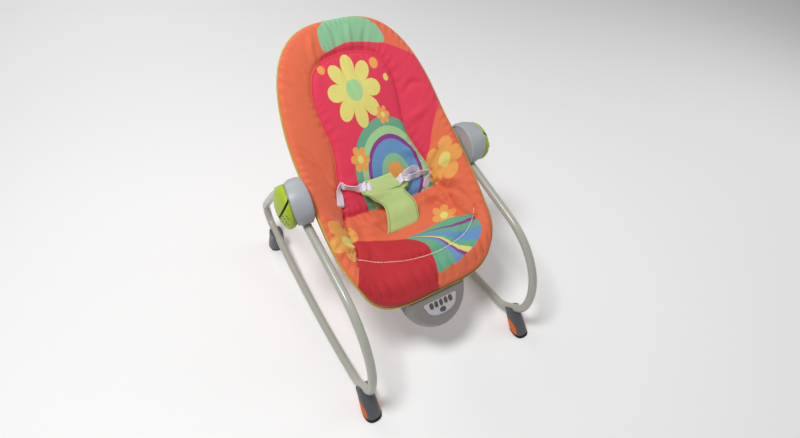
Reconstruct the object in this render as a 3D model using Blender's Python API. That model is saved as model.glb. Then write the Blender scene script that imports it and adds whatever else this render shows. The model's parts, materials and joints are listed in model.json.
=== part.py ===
"""A baby rocking chair: two bent tube side frames on turnable feet, joined by a padded seat that tilts on two hubs.

Metres, +Z up, the front of the chair faces -Y, and the origin is on the floor under the middle of the whole chair.
Left means -X, the side seen on the left from the front. Shapes are made with y and z counted from the axis of the
hubs, and an empty then moves and turns them to their place over the origin.
"""

import math

import bmesh
import bpy
import numpy as np
from mathutils import Matrix, Vector

# Driving sizes of the whole chair
PAD_HALF_WIDTH = 0.188
RAIL_CLEAR_OF_FLOOR = 0.00296
CHAIR_PITCH_DEG = 5.9
HUB_OFFSET_Y = 0.0389
CLEARANCE = 0.0003
RUNNING_GAP = 0.0005
SIDES = (("left", -1), ("right", 1))

# Side frame tube, bent as one closed loop from hub to hub
FRAME_TUBE_R = 0.0095
FRAME_X = PAD_HALF_WIDTH + 0.0215
FRAME_DROP = 0.0322
RISER_X = PAD_HALF_WIDTH + 0.0345
TOP_DROP_DEG = 7.1
TOP_RUN = 0.1845
TOP_START_Y = -0.0155
FRONT_BEND_R = 0.164
FRONT_BEND_DEG = 88.5
TOE_BEND_R = 0.060
TOE_FIRST_DEG = 34.0
TOE_STRAIGHT = 0.0415
TOE_SECOND_DEG = 37.4
RAIL_R = 1.05
RAIL_DEG = 25.8
HEEL_BEND_R = 0.0417
HEEL_BEND_DEG = 110.1
RISER_R = 3.2
RISER_LENGTH = 0.2744
BEND_STEP_DEG = 11.0
LONG_STEP = 0.055
TUBE_RESOLUTION = 4

# Hub on each side, turned about the tilt axis; x is counted outboard
HUB_INNER_X = PAD_HALF_WIDTH + 0.0065
HUB_SPLIT_X = HUB_INNER_X + 0.0325
HUB_MAX_R = 0.0497
HUB_MOUTH_R = 0.0460
HUB_SPLIT_R = 0.0420
HUB_WALL = 0.003
HUB_BOSS_R = 0.0100
HUB_SEGMENTS = 30
COVER_MAX_R = 0.0455
COVER_DEPTH = 0.0290
COVER_SLANT = 0.38
SPLIT_SLANT = 0.25
SPLIT_FLAT_R = 0.011
BOLT_R = 0.0040
BOLT_HEAD_R = 0.0075
BOLT_HEAD_T = 0.0045
SLOT_WIDTH = 0.0042
SLOT_OUT = 0.0094
THUMB_ANGLE_DEG = 209.0
STEM_WIDTH = 0.009
STEM_DEPTH = 0.006
STEM_OUT = 0.0042
LUG_R = 0.0115
LUG_BEHIND = 0.007
LUG_BEYOND = 0.042
LUG_CLEAR_OF_HUB = 0.0008
RIVET_BACK = 0.0015
RIVET_R = 0.0028

# Seat: one tube ring and one padded cover around it
SEAT_TUBE_R = 0.008
PAD_REAR = 0.284
PAD_FRONT = 0.2445
PAD_REAR_POWER = 2.9
PAD_FRONT_POWER = 4.3
PAD_HALF_THICK = 0.012
HEM_INSET = 0.0150
SEAT_TUBE_POINTS = 44
SAG_POWER = 2.5
PANEL_HALF_WIDTH = 0.105
PANEL_TOP = 0.225
PANEL_RISE = 0.005
ROLL_Y = -0.205
ROLL_RISE = 0.006
PAD_CELLS_X = 16
PAD_CELLS_Y = 20
RIM_LINE = (
    (-0.245, -0.138), (-0.225, -0.119), (-0.200, -0.087), (-0.130, -0.052),
    (0.000, 0.014), (0.080, 0.049), (0.150, 0.098), (0.240, 0.163), (0.284, 0.195),
)
MIDDLE_LINE = (
    (-0.245, -0.138), (-0.225, -0.122), (-0.185, -0.112), (-0.130, -0.123),
    (-0.083, -0.125), (-0.030, -0.104), (0.050, -0.033), (0.130, 0.041), (0.220, 0.130), (0.284, 0.195),
)

# Bracket that hangs the seat tube in the hub
DISC_R = 0.0425
DISC_T = 0.0036
DISC_X = HUB_INNER_X + 0.0006
SADDLE_X = PAD_HALF_WIDTH - 0.0080
SADDLE_LENGTH = 0.040
SADDLE_WALL = 0.0035
SCREW_R = 0.0018
SCREW_HEAD_R = 0.0034

# Feet
SOLE_T = 0.006
FOOT_SIDES = 20
FRONT_FOOT_LEAN = 0.0422
REAR_FOOT_LEAN = -0.0120
FOOT_SPLAY = 0.0012
FOOT_HALF_X = 0.0200
FOOT_HALF_Y = 0.0222
FOOT_NECK_X = 0.0170
FOOT_NECK_Y = 0.0200
FOOT_POWER = 2.6
FOOT_CUT_ABOVE_TUBE = 0.0035
TREAD_R = 0.042
TREAD_BACK = 0.030
TREAD_DOWN = 0.010

# Soothing unit under the front edge of the seat
UNIT_TOP_Z = -0.1460
UNIT_SPLIT_Y = -0.2400
UNIT_WIDEST_Y = -0.2293
UNIT_WALL = 0.0024
UNIT_SIDES = 28
UNIT_FRONT_POWER = 2.0
UNIT_REAR_POWER = 3.2
FACE_TILT_DEG = 43.0
FACE_Y = -0.2695
FACE_Z = -0.1675
PLATE_T = 0.0014
BUTTON_PITCH = 0.0124
BUTTON_ROW_S = -0.0080
BUTTON_HALF_X = 0.0042
BUTTON_HALF_S = 0.0070
POWER_S = 0.0088
POWER_HALF_X = 0.0075
POWER_HALF_S = 0.0052
BUTTON_PROUD = 0.0022
HOOK_X = 0.055
HOOK_HALF_X = 0.009
HOOK_WALL = 0.0030
CELL_R = 0.0131
CELL_LENGTH = 0.050
MOTOR_R = 0.0100
MOTOR_LENGTH = 0.025

# Straps
CROTCH_T = 0.0030
WEB_WIDTH = 0.019
WEB_T = 0.0018


def clear_scene():
    """Empties the scene that this script is run in."""
    for obj in list(bpy.data.objects):
        bpy.data.objects.remove(obj, do_unlink=True)


def finish(name, colour, roughness, metallic=0.0):
    """A named plain surface finish."""
    found = bpy.data.materials.get(name)
    if found:
        return found
    material = bpy.data.materials.new(name)
    material.use_nodes = True
    shader = material.node_tree.nodes["Principled BSDF"]
    shader.inputs["Base Color"].default_value = (*colour, 1.0)
    shader.inputs["Roughness"].default_value = roughness
    shader.inputs["Metallic"].default_value = metallic
    return material


def satin_grey_paint():
    return finish("satin_grey_paint", (0.42, 0.42, 0.37), 0.35, 0.3)


def hub_grey_plastic():
    return finish("hub_grey_plastic", (0.42, 0.44, 0.46), 0.4)


def lime_plastic():
    return finish("lime_plastic", (0.33, 0.50, 0.03), 0.4)


def dark_grey_plastic():
    return finish("dark_grey_plastic", (0.075, 0.08, 0.09), 0.45)


def orange_rubber():
    return finish("orange_rubber", (0.50, 0.10, 0.01), 0.55)


def black_rubber():
    return finish("black_rubber", (0.01, 0.01, 0.012), 0.7)


def zinc_steel():
    return finish("zinc_steel", (0.55, 0.56, 0.58), 0.3, 1.0)


def orange_cloth():
    return finish("orange_cloth", (0.75, 0.16, 0.08), 0.7)


def green_cloth():
    return finish("green_cloth", (0.50, 0.64, 0.26), 0.75)


def white_webbing():
    return finish("white_webbing", (0.82, 0.78, 0.88), 0.8)


def unit_grey_plastic():
    return finish("unit_grey_plastic", (0.27, 0.25, 0.23), 0.4)


def plate_grey_plastic():
    return finish("plate_grey_plastic", (0.52, 0.52, 0.55), 0.4)


def button_brown_rubber():
    return finish("button_brown_rubber", (0.10, 0.08, 0.065), 0.6)


def circuit_green():
    return finish("circuit_green", (0.02, 0.16, 0.06), 0.5)


def cell_wrap():
    return finish("cell_wrap", (0.06, 0.06, 0.07), 0.35)


def empty_at(name, place, parent=None):
    """An empty that carries pieces, with its place given in its parent's space."""
    carrier = bpy.data.objects.new(name, None)
    bpy.context.scene.collection.objects.link(carrier)
    carrier.location = place
    carrier.parent = parent
    return carrier


def piece(name, bm, material, carrier, cutter=False):
    """Makes a closed mesh object from shapes given in chair coordinates, carried by an empty."""
    bmesh.ops.remove_doubles(bm, verts=bm.verts[:], dist=1e-6)
    bmesh.ops.recalc_face_normals(bm, faces=bm.faces[:])
    bmesh.ops.translate(bm, verts=bm.verts[:], vec=-carried_place(carrier))
    mesh = bpy.data.meshes.new(name)
    bm.to_mesh(mesh)
    bm.free()
    obj = bpy.data.objects.new(name, mesh)
    bpy.context.scene.collection.objects.link(obj)
    obj.parent = carrier
    if cutter:
        obj.hide_render = True
        obj.display_type = "WIRE"
        return obj
    mesh.materials.append(material)
    mesh.shade_smooth()
    mesh.set_sharp_from_angle(angle=math.radians(35))
    return obj


def carried_place(carrier):
    """Where an empty stands in chair coordinates, which are those of the outermost empty."""
    place = Vector((0.0, 0.0, 0.0))
    while carrier.parent is not None:
        place += carrier.location
        carrier = carrier.parent
    return place


def boolean(obj, other, operation):
    step = obj.modifiers.new(operation.lower() + "_" + other.name, "BOOLEAN")
    step.operation = operation
    step.object = other
    step.solver = "EXACT"
    return step


def cut(obj, *cutters):
    for cutter in cutters:
        boolean(obj, cutter, "DIFFERENCE")


def join(obj, *others):
    for other in others:
        boolean(obj, other, "UNION")


def box_shape(low, high):
    """A box between two corners."""
    bm = bmesh.new()
    bmesh.ops.create_cube(bm, size=1.0)
    low, high = np.minimum(low, high), np.maximum(low, high)
    bmesh.ops.scale(bm, verts=bm.verts[:], vec=Vector(high - low))
    bmesh.ops.translate(bm, verts=bm.verts[:], vec=Vector((low + high) / 2))
    return bm


def turned_box(centre, size, axes):
    """A box of a given size whose edges run along three given directions."""
    bm = bmesh.new()
    bmesh.ops.create_cube(bm, size=1.0)
    bmesh.ops.scale(bm, verts=bm.verts[:], vec=Vector(size))
    turn = Matrix([Vector(axis) for axis in axes]).transposed()
    bmesh.ops.rotate(bm, verts=bm.verts[:], cent=(0, 0, 0), matrix=turn)
    bmesh.ops.translate(bm, verts=bm.verts[:], vec=Vector(centre))
    return bm


def rod_shape(start, end, radius, end_radius=None, segments=16):
    """A round bar between two points, tapered where the second radius differs."""
    start, end = Vector(start), Vector(end)
    bm = bmesh.new()
    bmesh.ops.create_cone(
        bm, cap_ends=True, segments=segments, radius1=radius,
        radius2=radius if end_radius is None else end_radius, depth=(end - start).length,
    )
    turn = (end - start).to_track_quat("Z", "Y").to_matrix()
    bmesh.ops.rotate(bm, verts=bm.verts[:], cent=(0, 0, 0), matrix=turn)
    bmesh.ops.translate(bm, verts=bm.verts[:], vec=(start + end) / 2)
    return bm


def turned_shape(profile, centre, side, closed, segments=HUB_SEGMENTS):
    """Turns a profile of (outboard x, radius) points about the axis through a centre (y, z)."""
    bm = bmesh.new()
    verts = [bm.verts.new((side * x, radius, 0.0)) for x, radius in profile]
    following = verts[1:] + verts[:1] if closed else verts[1:]
    edges = [bm.edges.new(pair) for pair in zip(verts, following)]
    bmesh.ops.spin(
        bm, geom=verts + edges, cent=(0, 0, 0), axis=(1, 0, 0),
        angle=2 * math.pi, steps=segments, use_merge=True,
    )
    bmesh.ops.translate(bm, verts=bm.verts[:], vec=(0.0, *centre))
    return bm


def lofted_shape(rings):
    """Skins a row of closed rings with equally many points, and caps both ends."""
    bm = bmesh.new()
    rows = [[bm.verts.new(point) for point in ring] for ring in rings]
    count = len(rows[0])
    for lower, upper in zip(rows, rows[1:]):
        for i in range(count):
            j = (i + 1) % count
            bm.faces.new((lower[i], lower[j], upper[j], upper[i]))
    bm.faces.new(rows[0][::-1])
    bm.faces.new(rows[-1])
    return bm


def rounded_ring(half_x, half_y, centre_y, z, power, count):
    """A level ring between an ellipse and a rectangle."""
    ring = []
    for i in range(count):
        angle = 2 * math.pi * (i + 0.5) / count
        c, s = math.cos(angle), math.sin(angle)
        reach = (abs(c) ** power + abs(s) ** power) ** (-1 / power)
        ring.append((half_x * reach * c, centre_y + half_y * reach * s, z))
    return ring


def ribbon_shape(path, across, widths, thickness):
    """A flat band along a path, with the direction and size of its width at every point."""
    path = [Vector(point) for point in path]
    rings = []
    for i, point in enumerate(path):
        ahead = path[min(i + 1, len(path) - 1)] - path[max(i - 1, 0)]
        wide = Vector(across[i])
        wide = (wide - ahead * (wide.dot(ahead) / ahead.length_squared)).normalized()
        thick = ahead.normalized().cross(wide) * (thickness / 2)
        wide *= widths[i] / 2
        rings.append([point - wide - thick, point + wide - thick, point + wide + thick, point - wide + thick])
    return lofted_shape(rings)


def tube_object(name, points, radius, material, carrier, cyclic=False, resolution=TUBE_RESOLUTION):
    """A round tube along a path: a bevelled curve, turned into a mesh so that it can be cut."""
    curve = bpy.data.curves.new(name, "CURVE")
    curve.dimensions = "3D"
    curve.bevel_depth = radius
    curve.bevel_resolution = resolution
    curve.use_fill_caps = not cyclic
    spline = curve.splines.new("POLY")
    spline.points.add(len(points) - 1)
    for knot, point in zip(spline.points, points):
        knot.co = (*point, 1.0)
    spline.use_cyclic_u = cyclic
    spline.use_smooth = True
    guide = bpy.data.objects.new(name + "_line", curve)
    bm = bmesh.new()
    mesh = bpy.data.meshes.new_from_object(guide)
    bm.from_mesh(mesh)
    bpy.data.meshes.remove(mesh)
    bpy.data.objects.remove(guide)
    return piece(name, bm, material, carrier, cutter=material is None)


def frame_centre_line():
    """The side frame's bends as (y, z, heading in degrees), from the hub's front round the rail to its rear."""
    bends = (
        (0.0, TOP_RUN),
        (FRONT_BEND_DEG, FRONT_BEND_R),
        (TOE_FIRST_DEG, TOE_BEND_R),
        (0.0, TOE_STRAIGHT),
        (TOE_SECOND_DEG, TOE_BEND_R),
        (RAIL_DEG, RAIL_R),
        (HEEL_BEND_DEG, HEEL_BEND_R),
        (math.degrees(RISER_LENGTH / RISER_R), RISER_R),
    )
    start_z = -FRAME_DROP
    y, z, heading = TOP_START_Y, start_z, 180.0 + TOP_DROP_DEG
    points, marks = [(y, z, heading)], [0]
    for turn, size in bends:
        length = size if turn == 0.0 else math.radians(turn) * size
        steps = max(1, math.ceil(max(turn / BEND_STEP_DEG, length / LONG_STEP)))
        chord = length / steps
        if turn:
            chord = 2 * size * math.sin(math.radians(turn) / steps / 2)
        for _ in range(steps):
            middle = math.radians(heading + turn / steps / 2)
            y, z, heading = y + chord * math.cos(middle), z + chord * math.sin(middle), heading + turn / steps
            points.append((y, z, heading))
        marks.append(len(points) - 1)
    return points, marks


def hub_height():
    """Height of the hubs that leaves the rail's lowest place just clear of the floor."""
    pitch = math.radians(CHAIR_PITCH_DEG)
    lowest = min(y * math.sin(pitch) + z * math.cos(pitch) for y, z, _ in frame_centre_line()[0])
    return RAIL_CLEAR_OF_FLOOR + FRAME_TUBE_R - lowest


HUB_HEIGHT = hub_height()


def frame_points(side):
    """The tube's path in space: the riser leans outboard to the outer cover's lug."""
    points, marks = frame_centre_line()
    places = []
    last = len(points) - 1
    first = marks[-2]
    for i, (y, z, _) in enumerate(points):
        share = min(max((i - first) / (last - 1 - first), 0.0), 1.0)
        share = share * share * (3 - 2 * share)
        places.append(Vector((side * (FRAME_X + share * (RISER_X - FRAME_X)), y, z)))
    return places


def make_side_frame(word, side, base):
    return tube_object(f"{word}_side_frame", frame_points(side), FRAME_TUBE_R, satin_grey_paint(), base)


def hub_shell_profile():
    x, r = HUB_INNER_X, HUB_MOUTH_R
    wall, split = HUB_WALL, HUB_SPLIT_X
    bore = BOLT_R + CLEARANCE
    return [
        (x, r), (x + 0.003, r + 0.0032), (x + 0.010, HUB_MAX_R), (x + 0.020, HUB_MAX_R - 0.0004),
        (x + 0.030, HUB_MAX_R - 0.0035), (split, HUB_SPLIT_R), (split, SPLIT_FLAT_R), (split, bore),
        (x + DISC_T + 0.0015, bore), (x + DISC_T + 0.0015, HUB_BOSS_R), (split - wall, HUB_BOSS_R),
        (split - wall, HUB_SPLIT_R - wall), (x + 0.028, HUB_MAX_R - 0.0035 - wall),
        (x + 0.019, HUB_MAX_R - 0.0004 - wall), (x + 0.010, HUB_MAX_R - wall), (x, r - 0.0026),
    ]


def slant_split(shape, inner_x, outer_x):
    """Turns the plane between the hub's two halves outboard at its upper front, more so from inner_x to outer_x."""
    for corner in shape.verts:
        share = min(max((abs(corner.co.x) - inner_x) / (outer_x - inner_x), 0.0), 1.0)
        ahead = (corner.co.z - corner.co.y) / math.sqrt(2)
        if math.hypot(corner.co.y, corner.co.z) > SPLIT_FLAT_R + 0.0005:
            corner.co.x += math.copysign(1.0, corner.co.x) * SPLIT_SLANT * ahead * share


def make_hub_shell(word, side, base, frame_cutter):
    """The grey inner half of the hub: a cup that the frame's top run plugs into."""
    shape = turned_shape(hub_shell_profile(), (0.0, 0.0), side, True)
    slant_split(shape, HUB_INNER_X + 0.006, HUB_SPLIT_X - HUB_WALL)
    shell = piece(f"{word}_hub_shell", shape, hub_grey_plastic(), base)
    cut(shell, frame_cutter)
    guide = make_stem_guide(word, side, base)
    join(shell, guide)
    return shell


def thumb_direction():
    """The way out from the hub's middle to the thumb pad, in the plane of the frame."""
    angle = math.radians(THUMB_ANGLE_DEG)
    return Vector((0.0, math.cos(angle), math.sin(angle)))


def make_stem_guide(word, side, base):
    """Two ribs on the hub's end wall that keep the thumb pad's stem straight."""
    out = thumb_direction()
    beside = Vector((1.0, 0.0, 0.0)).cross(out)
    centre = Vector((0.0, 0.0, 0.0))
    x_mid = side * (HUB_SPLIT_X + (STEM_DEPTH + STEM_OUT) / 2 - 0.0005)
    height = STEM_DEPTH + STEM_OUT + 0.0030
    shape = bmesh.new()
    for way in (-1, 1):
        place = centre + out * 0.0215 + beside * way * (STEM_WIDTH / 2 + 0.0018 + CLEARANCE)
        place.x = x_mid
        rib = turned_box(place, (height, 0.009, 0.0036), ((1, 0, 0), out, beside))
        mesh = bpy.data.meshes.new("rib")
        rib.to_mesh(mesh)
        rib.free()
        shape.from_mesh(mesh)
        bpy.data.meshes.remove(mesh)
    return piece(f"{word}_guide_ribs", shape, hub_grey_plastic(), base, cutter=True)


def cover_profile(shrink):
    """The outer dome, or the hollow inside it when shrunk by the wall."""
    x, r, deep = HUB_SPLIT_X + CLEARANCE, COVER_MAX_R - shrink, COVER_DEPTH - shrink
    start = x - (0.004 if shrink else 0.0)
    rise = [
        (start, r - 0.003), (x + 0.0045, r - 0.0003), (x + 0.0115, r), (x + 0.0185, r - 0.003),
        (x + 0.80 * deep, r * 0.77), (x + 0.94 * deep, r * 0.50), (x + deep, r * 0.23),
    ]
    return [(start, 0.0)] + rise + [(x + deep, 0.0)]


def dome_shape(shrink, side):
    """The outer dome as a solid, with its crown set lower than its rim."""
    shape = turned_shape(cover_profile(shrink), (0.0, 0.0), side, False)
    for corner in shape.verts:
        corner.co.z -= COVER_SLANT * max(abs(corner.co.x) - HUB_SPLIT_X - CLEARANCE, 0.0)
    slant_split(shape, HUB_SPLIT_X + COVER_DEPTH, HUB_SPLIT_X + CLEARANCE)
    return shape


def slot_block(name, side, base, facing, margin):
    """A large block that holds everything on one side of the slanting slot between cover and thumb pad."""
    out = thumb_direction()
    outboard = Vector((side, 0.0, 0.0))
    normal = (outboard - out).normalized() * facing
    along = (outboard + out).normalized()
    third = normal.cross(along)
    middle = Vector((side * (HUB_SPLIT_X + CLEARANCE + SLOT_OUT), 0.0, 0.0))
    size = 0.14
    place = middle + normal * (margin + size / 2)
    return piece(name, turned_box(place, (size, size, size), (normal, along, third)), None, base, cutter=True)


def make_cover(word, side, base, frame_cutter):
    """The lime outer cover, with the lug that the riser ends in."""
    dome = piece(f"{word}_hub_cover", dome_shape(0.0, side), lime_plastic(), base)
    hollow = piece(f"{word}_cover_hollow", dome_shape(HUB_WALL, side), None, base, cutter=True)
    lug = make_lug(word, side, base)
    behind_slot = slot_block(f"{word}_thumb_side", side, base, -1, -SLOT_WIDTH)
    rivet_hole = rivet_cutter(f"{word}_cover", side, base)
    reach = (Vector((side * HUB_INNER_X, 0.0, 0.0)), Vector((side * (HUB_SPLIT_X + CLEARANCE), 0.0, 0.0)))
    round_shell = rod_shape(*reach, HUB_MAX_R + LUG_CLEAR_OF_HUB, segments=48)
    round_shell = piece(f"{word}_shell_room", round_shell, None, base, cutter=True)
    join(dome, lug)
    cut(dome, round_shell, behind_slot, hollow, frame_cutter, rivet_hole)
    return dome


def riser_end():
    """The riser's last point and direction in the frame's plane."""
    points, _ = frame_centre_line()
    y, z, heading = points[-1]
    angle = math.radians(heading)
    return Vector((0.0, y, z)), Vector((0.0, math.cos(angle), math.sin(angle)))


def make_lug(word, side, base):
    """A sleeve on the cover's rear rim that the riser ends in."""
    tip, way = riser_end()
    inner, outer = RISER_X - LUG_R, RISER_X + LUG_R
    beside = Vector((1.0, 0.0, 0.0)).cross(way)
    place = tip + way * (LUG_BEYOND - LUG_BEHIND) / 2
    place.x = side * (inner + outer) / 2
    shape = turned_box(place, (outer - inner, LUG_BEYOND + LUG_BEHIND, 2 * LUG_R), ((1, 0, 0), way, beside))
    bmesh.ops.bevel(
        shape, geom=shape.edges[:], offset=0.005, segments=2, affect="EDGES", profile=0.5, clamp_overlap=True
    )
    return piece(f"{word}_lug_block", shape, None, base, cutter=True)


def make_thumb_pad(word, side, pad_carrier):
    """The lime thumb pad: the rest of the dome, with a stem that slides between the guide ribs."""
    thumb = piece(f"{word}_thumb_pad", dome_shape(0.0, side), lime_plastic(), pad_carrier)
    hollow = piece(f"{word}_thumb_hollow", dome_shape(HUB_WALL, side), None, pad_carrier, cutter=True)
    before_slot = slot_block(f"{word}_cover_side", side, pad_carrier, 1, 0.0)
    out = thumb_direction()
    beside = Vector((1.0, 0.0, 0.0)).cross(out)
    inner, outer = 0.0240, COVER_MAX_R - 0.0015
    place = Vector((0.0, 0.0, 0.0)) + out * (inner + outer) / 2
    place.x = side * (HUB_SPLIT_X + CLEARANCE + STEM_DEPTH / 2 + STEM_OUT)
    stem = piece(
        f"{word}_thumb_stem",
        turned_box(place, (STEM_DEPTH, outer - inner, STEM_WIDTH), ((1, 0, 0), out, beside)),
        None, pad_carrier, cutter=True,
    )
    cut(thumb, before_slot, hollow)
    join(thumb, stem)
    return thumb


def stepped_bar(start, way, profile, segments=16):
    """A solid round bar along a direction, from (distance, radius) steps."""
    start, way = Vector(start), Vector(way).normalized()
    side_a = way.orthogonal().normalized()
    side_b = way.cross(side_a)
    rings = []
    for distance, radius in profile:
        ring = []
        for i in range(segments):
            angle = 2 * math.pi * i / segments
            ring.append(start + way * distance + (side_a * math.cos(angle) + side_b * math.sin(angle)) * radius)
        rings.append(ring)
    return lofted_shape(rings)


def make_pivot_bolt(word, side, base):
    """The bolt that the seat turns on, with its head inside the outer cover."""
    start = (side * (HUB_SPLIT_X + CLEARANCE + BOLT_HEAD_T), 0.0, 0.0)
    stem = HUB_SPLIT_X + CLEARANCE + BOLT_HEAD_T - (DISC_X - 0.0020)
    steps = [(0.0, BOLT_HEAD_R - 0.0008), (0.0008, BOLT_HEAD_R), (BOLT_HEAD_T, BOLT_HEAD_R), (BOLT_HEAD_T, BOLT_R)]
    shape = stepped_bar(start, (-side, 0, 0), steps + [(stem, BOLT_R)])
    return piece(f"{word}_pivot_bolt", shape, zinc_steel(), base)


def rivet_bar(side, radius, proud):
    """A bar through the lug and the riser's end, level and across the chair."""
    tip, way = riser_end()
    place = tip - way * RIVET_BACK
    inner, outer = RISER_X - LUG_R - proud, RISER_X + LUG_R + proud
    return Vector((side * inner, place.y, place.z)), outer - inner


def make_lug_rivet(word, side, base):
    head_t, head_r = 0.0013, 0.0050
    start, length = rivet_bar(side, RIVET_R, CLEARANCE + head_t)
    steps = [
        (0.0, head_r - 0.001), (head_t, head_r), (head_t, RIVET_R),
        (length - head_t, RIVET_R), (length - head_t, head_r), (length, head_r - 0.001),
    ]
    return piece(f"{word}_lug_rivet", stepped_bar(start, (side, 0, 0), steps), zinc_steel(), base)


def rivet_cutter(word, side, base):
    start, length = rivet_bar(side, RIVET_R, 0.004)
    shape = stepped_bar(start, (side, 0, 0), [(0.0, RIVET_R + CLEARANCE), (length, RIVET_R + CLEARANCE)])
    return piece(f"{word}_rivet_hole", shape, None, base, cutter=True)


def frame_end_cutters(word, side, base):
    """Straight bars a little wider than the frame tube, round its front end and its riser's end."""
    radius = FRAME_TUBE_R + CLEARANCE
    points = frame_points(side)
    front_way = (points[1] - points[0]).normalized()
    rear_way = (points[-2] - points[-1]).normalized()
    front = rod_shape(points[0] - front_way * 0.002, points[0] + front_way * 0.070, radius, segments=24)
    rear = rod_shape(points[-1] - rear_way * CLEARANCE, points[-1] + rear_way * 0.045, radius, segments=24)
    return (
        piece(f"{word}_front_end_hole", front, None, base, cutter=True),
        piece(f"{word}_riser_end_hole", rear, None, base, cutter=True),
    )


def smooth_value(table, at):
    """A smooth curve through a table of (place, value) pairs."""
    places, values = np.array(table).T
    at = min(max(at, places[0]), places[-1])
    slopes = np.gradient(values, places)
    i = int(np.clip(np.searchsorted(places, at) - 1, 0, len(places) - 2))
    span = places[i + 1] - places[i]
    t = (at - places[i]) / span
    return (
        (2 * t**3 - 3 * t**2 + 1) * values[i] + (t**3 - 2 * t**2 + t) * span * slopes[i]
        + (3 * t**2 - 2 * t**3) * values[i + 1] + (t**3 - t**2) * span * slopes[i + 1]
    )


def half_shape(y):
    """Length and roundness of the seat's outline in front of or behind the hubs."""
    return (PAD_REAR, PAD_REAR_POWER) if y >= 0 else (PAD_FRONT, PAD_FRONT_POWER)


def outline_share(x, y):
    """How far out a point of the seat's plan lies: 0 in the middle, 1 on the rim; and its distance to the rim."""
    length, power = half_shape(y)
    a, b = abs(x) / PAD_HALF_WIDTH, abs(y) / length
    share = (a**power + b**power) ** (1 / power)
    if share < 1e-6:
        return 0.0, 1.0
    slope = math.hypot(a ** (power - 1) / PAD_HALF_WIDTH, b ** (power - 1) / length) * share ** (1 - power)
    return share, (1 - share) / slope


def seat_middle_z(x, y):
    """Height of the layer halfway through the pad."""
    length, power = half_shape(y)
    width = PAD_HALF_WIDTH * max(1 - min(abs(y) / length, 1.0) ** power, 0.0) ** (1 / power)
    centre, rim = smooth_value(MIDDLE_LINE, y), smooth_value(RIM_LINE, y)
    return centre + (rim - centre) * min(abs(x) / max(width, 1e-4), 1.15) ** SAG_POWER


def seat_normal(x, y):
    step = 0.001
    along_x = (seat_middle_z(x + step, y) - seat_middle_z(x - step, y)) / (2 * step)
    along_y = (seat_middle_z(x, y + step) - seat_middle_z(x, y - step)) / (2 * step)
    return Vector((-along_x, -along_y, 1.0)).normalized()


def smooth_step(value):
    value = min(max(value, 0.0), 1.0)
    return value * value * (3 - 2 * value)


def pad_rise(x, y):
    """The middle panel's crown and the roll along the front."""
    panel = smooth_step((PANEL_HALF_WIDTH - abs(x)) / 0.03) * smooth_step((PANEL_TOP - y) / 0.03)
    roll = math.exp(-(((y - ROLL_Y) / 0.016) ** 2)) * smooth_step((0.15 - abs(x)) / 0.05)
    return PANEL_RISE * panel + ROLL_RISE * roll


def pad_point(u, v, facing):
    """A point of the pad's top (facing 1) or underside (-1), from a place in a square."""
    disc_x, disc_y = u * math.sqrt(1 - v * v / 2), v * math.sqrt(1 - u * u / 2)
    length, power = half_shape(disc_y)
    radius = math.hypot(disc_x, disc_y)
    if radius < 1e-9:
        x = y = 0.0
    else:
        c, s = abs(disc_x) / radius, abs(disc_y) / radius
        reach = (c**power + s**power) ** (-1 / power)
        x, y = PAD_HALF_WIDTH * disc_x * reach, length * disc_y * reach
    _, inset = outline_share(x, y)
    edge = max(0.0, 1 - max(inset, 0.0) / PAD_HALF_THICK)
    thick = PAD_HALF_THICK * math.sqrt(max(0.0, 1 - edge * edge))
    if facing > 0:
        thick += pad_rise(x, y) * smooth_step(inset / 0.03)
    return Vector((x, y, seat_middle_z(x, y))) + seat_normal(x, y) * thick * facing


def seat_line(inset, count):
    """A closed line in the pad's middle layer, a set distance inside its outline."""
    plan = []
    for i in range(720):
        angle = 2 * math.pi * i / 720 - math.pi / 2
        c, s = math.cos(angle), math.sin(angle)
        length, power = half_shape(s)
        reach = (abs(c) ** power + abs(s) ** power) ** (-1 / power)
        plan.append((PAD_HALF_WIDTH * reach * c, length * reach * s))
    plan = np.array(plan)
    run = np.roll(plan, -1, axis=0) - np.roll(plan, 1, axis=0)
    inward = np.stack([-run[:, 1], run[:, 0]], axis=1) / np.linalg.norm(run, axis=1)[:, None]
    plan = plan + inward * inset
    line = np.array([(x, y, seat_middle_z(x, y)) for x, y in plan])
    closed = np.vstack([line, line[:1]])
    places = np.concatenate([[0.0], np.cumsum(np.linalg.norm(np.diff(closed, axis=0), axis=1))])
    at = np.linspace(0.0, places[-1], count + 1)[:-1]
    return [Vector(point) for point in np.stack([np.interp(at, places, closed[:, k]) for k in range(3)], axis=1)]


def make_seat_tube(seat):
    return tube_object("seat_frame_tube", seat_line(HEM_INSET, SEAT_TUBE_POINTS), SEAT_TUBE_R, satin_grey_paint(),
                       seat, cyclic=True, resolution=2)


def seat_tube_cutter(name, radius, seat):
    return tube_object(name, seat_line(HEM_INSET, SEAT_TUBE_POINTS), radius, None, seat, cyclic=True, resolution=2)


def seat_mount_frame(x, y):
    """The seat tube's centre nearest to a plan place, with its direction, the way out and the pad's normal."""
    line = seat_line(HEM_INSET, SEAT_TUBE_POINTS)
    best = None
    for start, end in zip(line, line[1:] + line[:1]):
        run = end - start
        share = ((x - start.x) * run.x + (y - start.y) * run.y) / (run.x**2 + run.y**2)
        place = start + run * min(max(share, 0.0), 1.0)
        distance = math.hypot(place.x - x, place.y - y)
        if best is None or distance < best[0]:
            best = (distance, place, run.normalized())
    _, place, along = best
    normal = seat_normal(place.x, place.y)
    normal = (normal - along * normal.dot(along)).normalized()
    return place, along, along.cross(normal), normal


def saddle_block(name, place, axes, length, reach, low, high, seat, material=None, cutter=True):
    """A block along the seat tube: reach to either side, from low to high along the pad's normal."""
    along, out, normal = axes
    centre = place + normal * (low + high) / 2
    return piece(name, turned_box(centre, (length, 2 * reach, high - low), (along, out, normal)), material, seat,
                 cutter=cutter)


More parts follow.
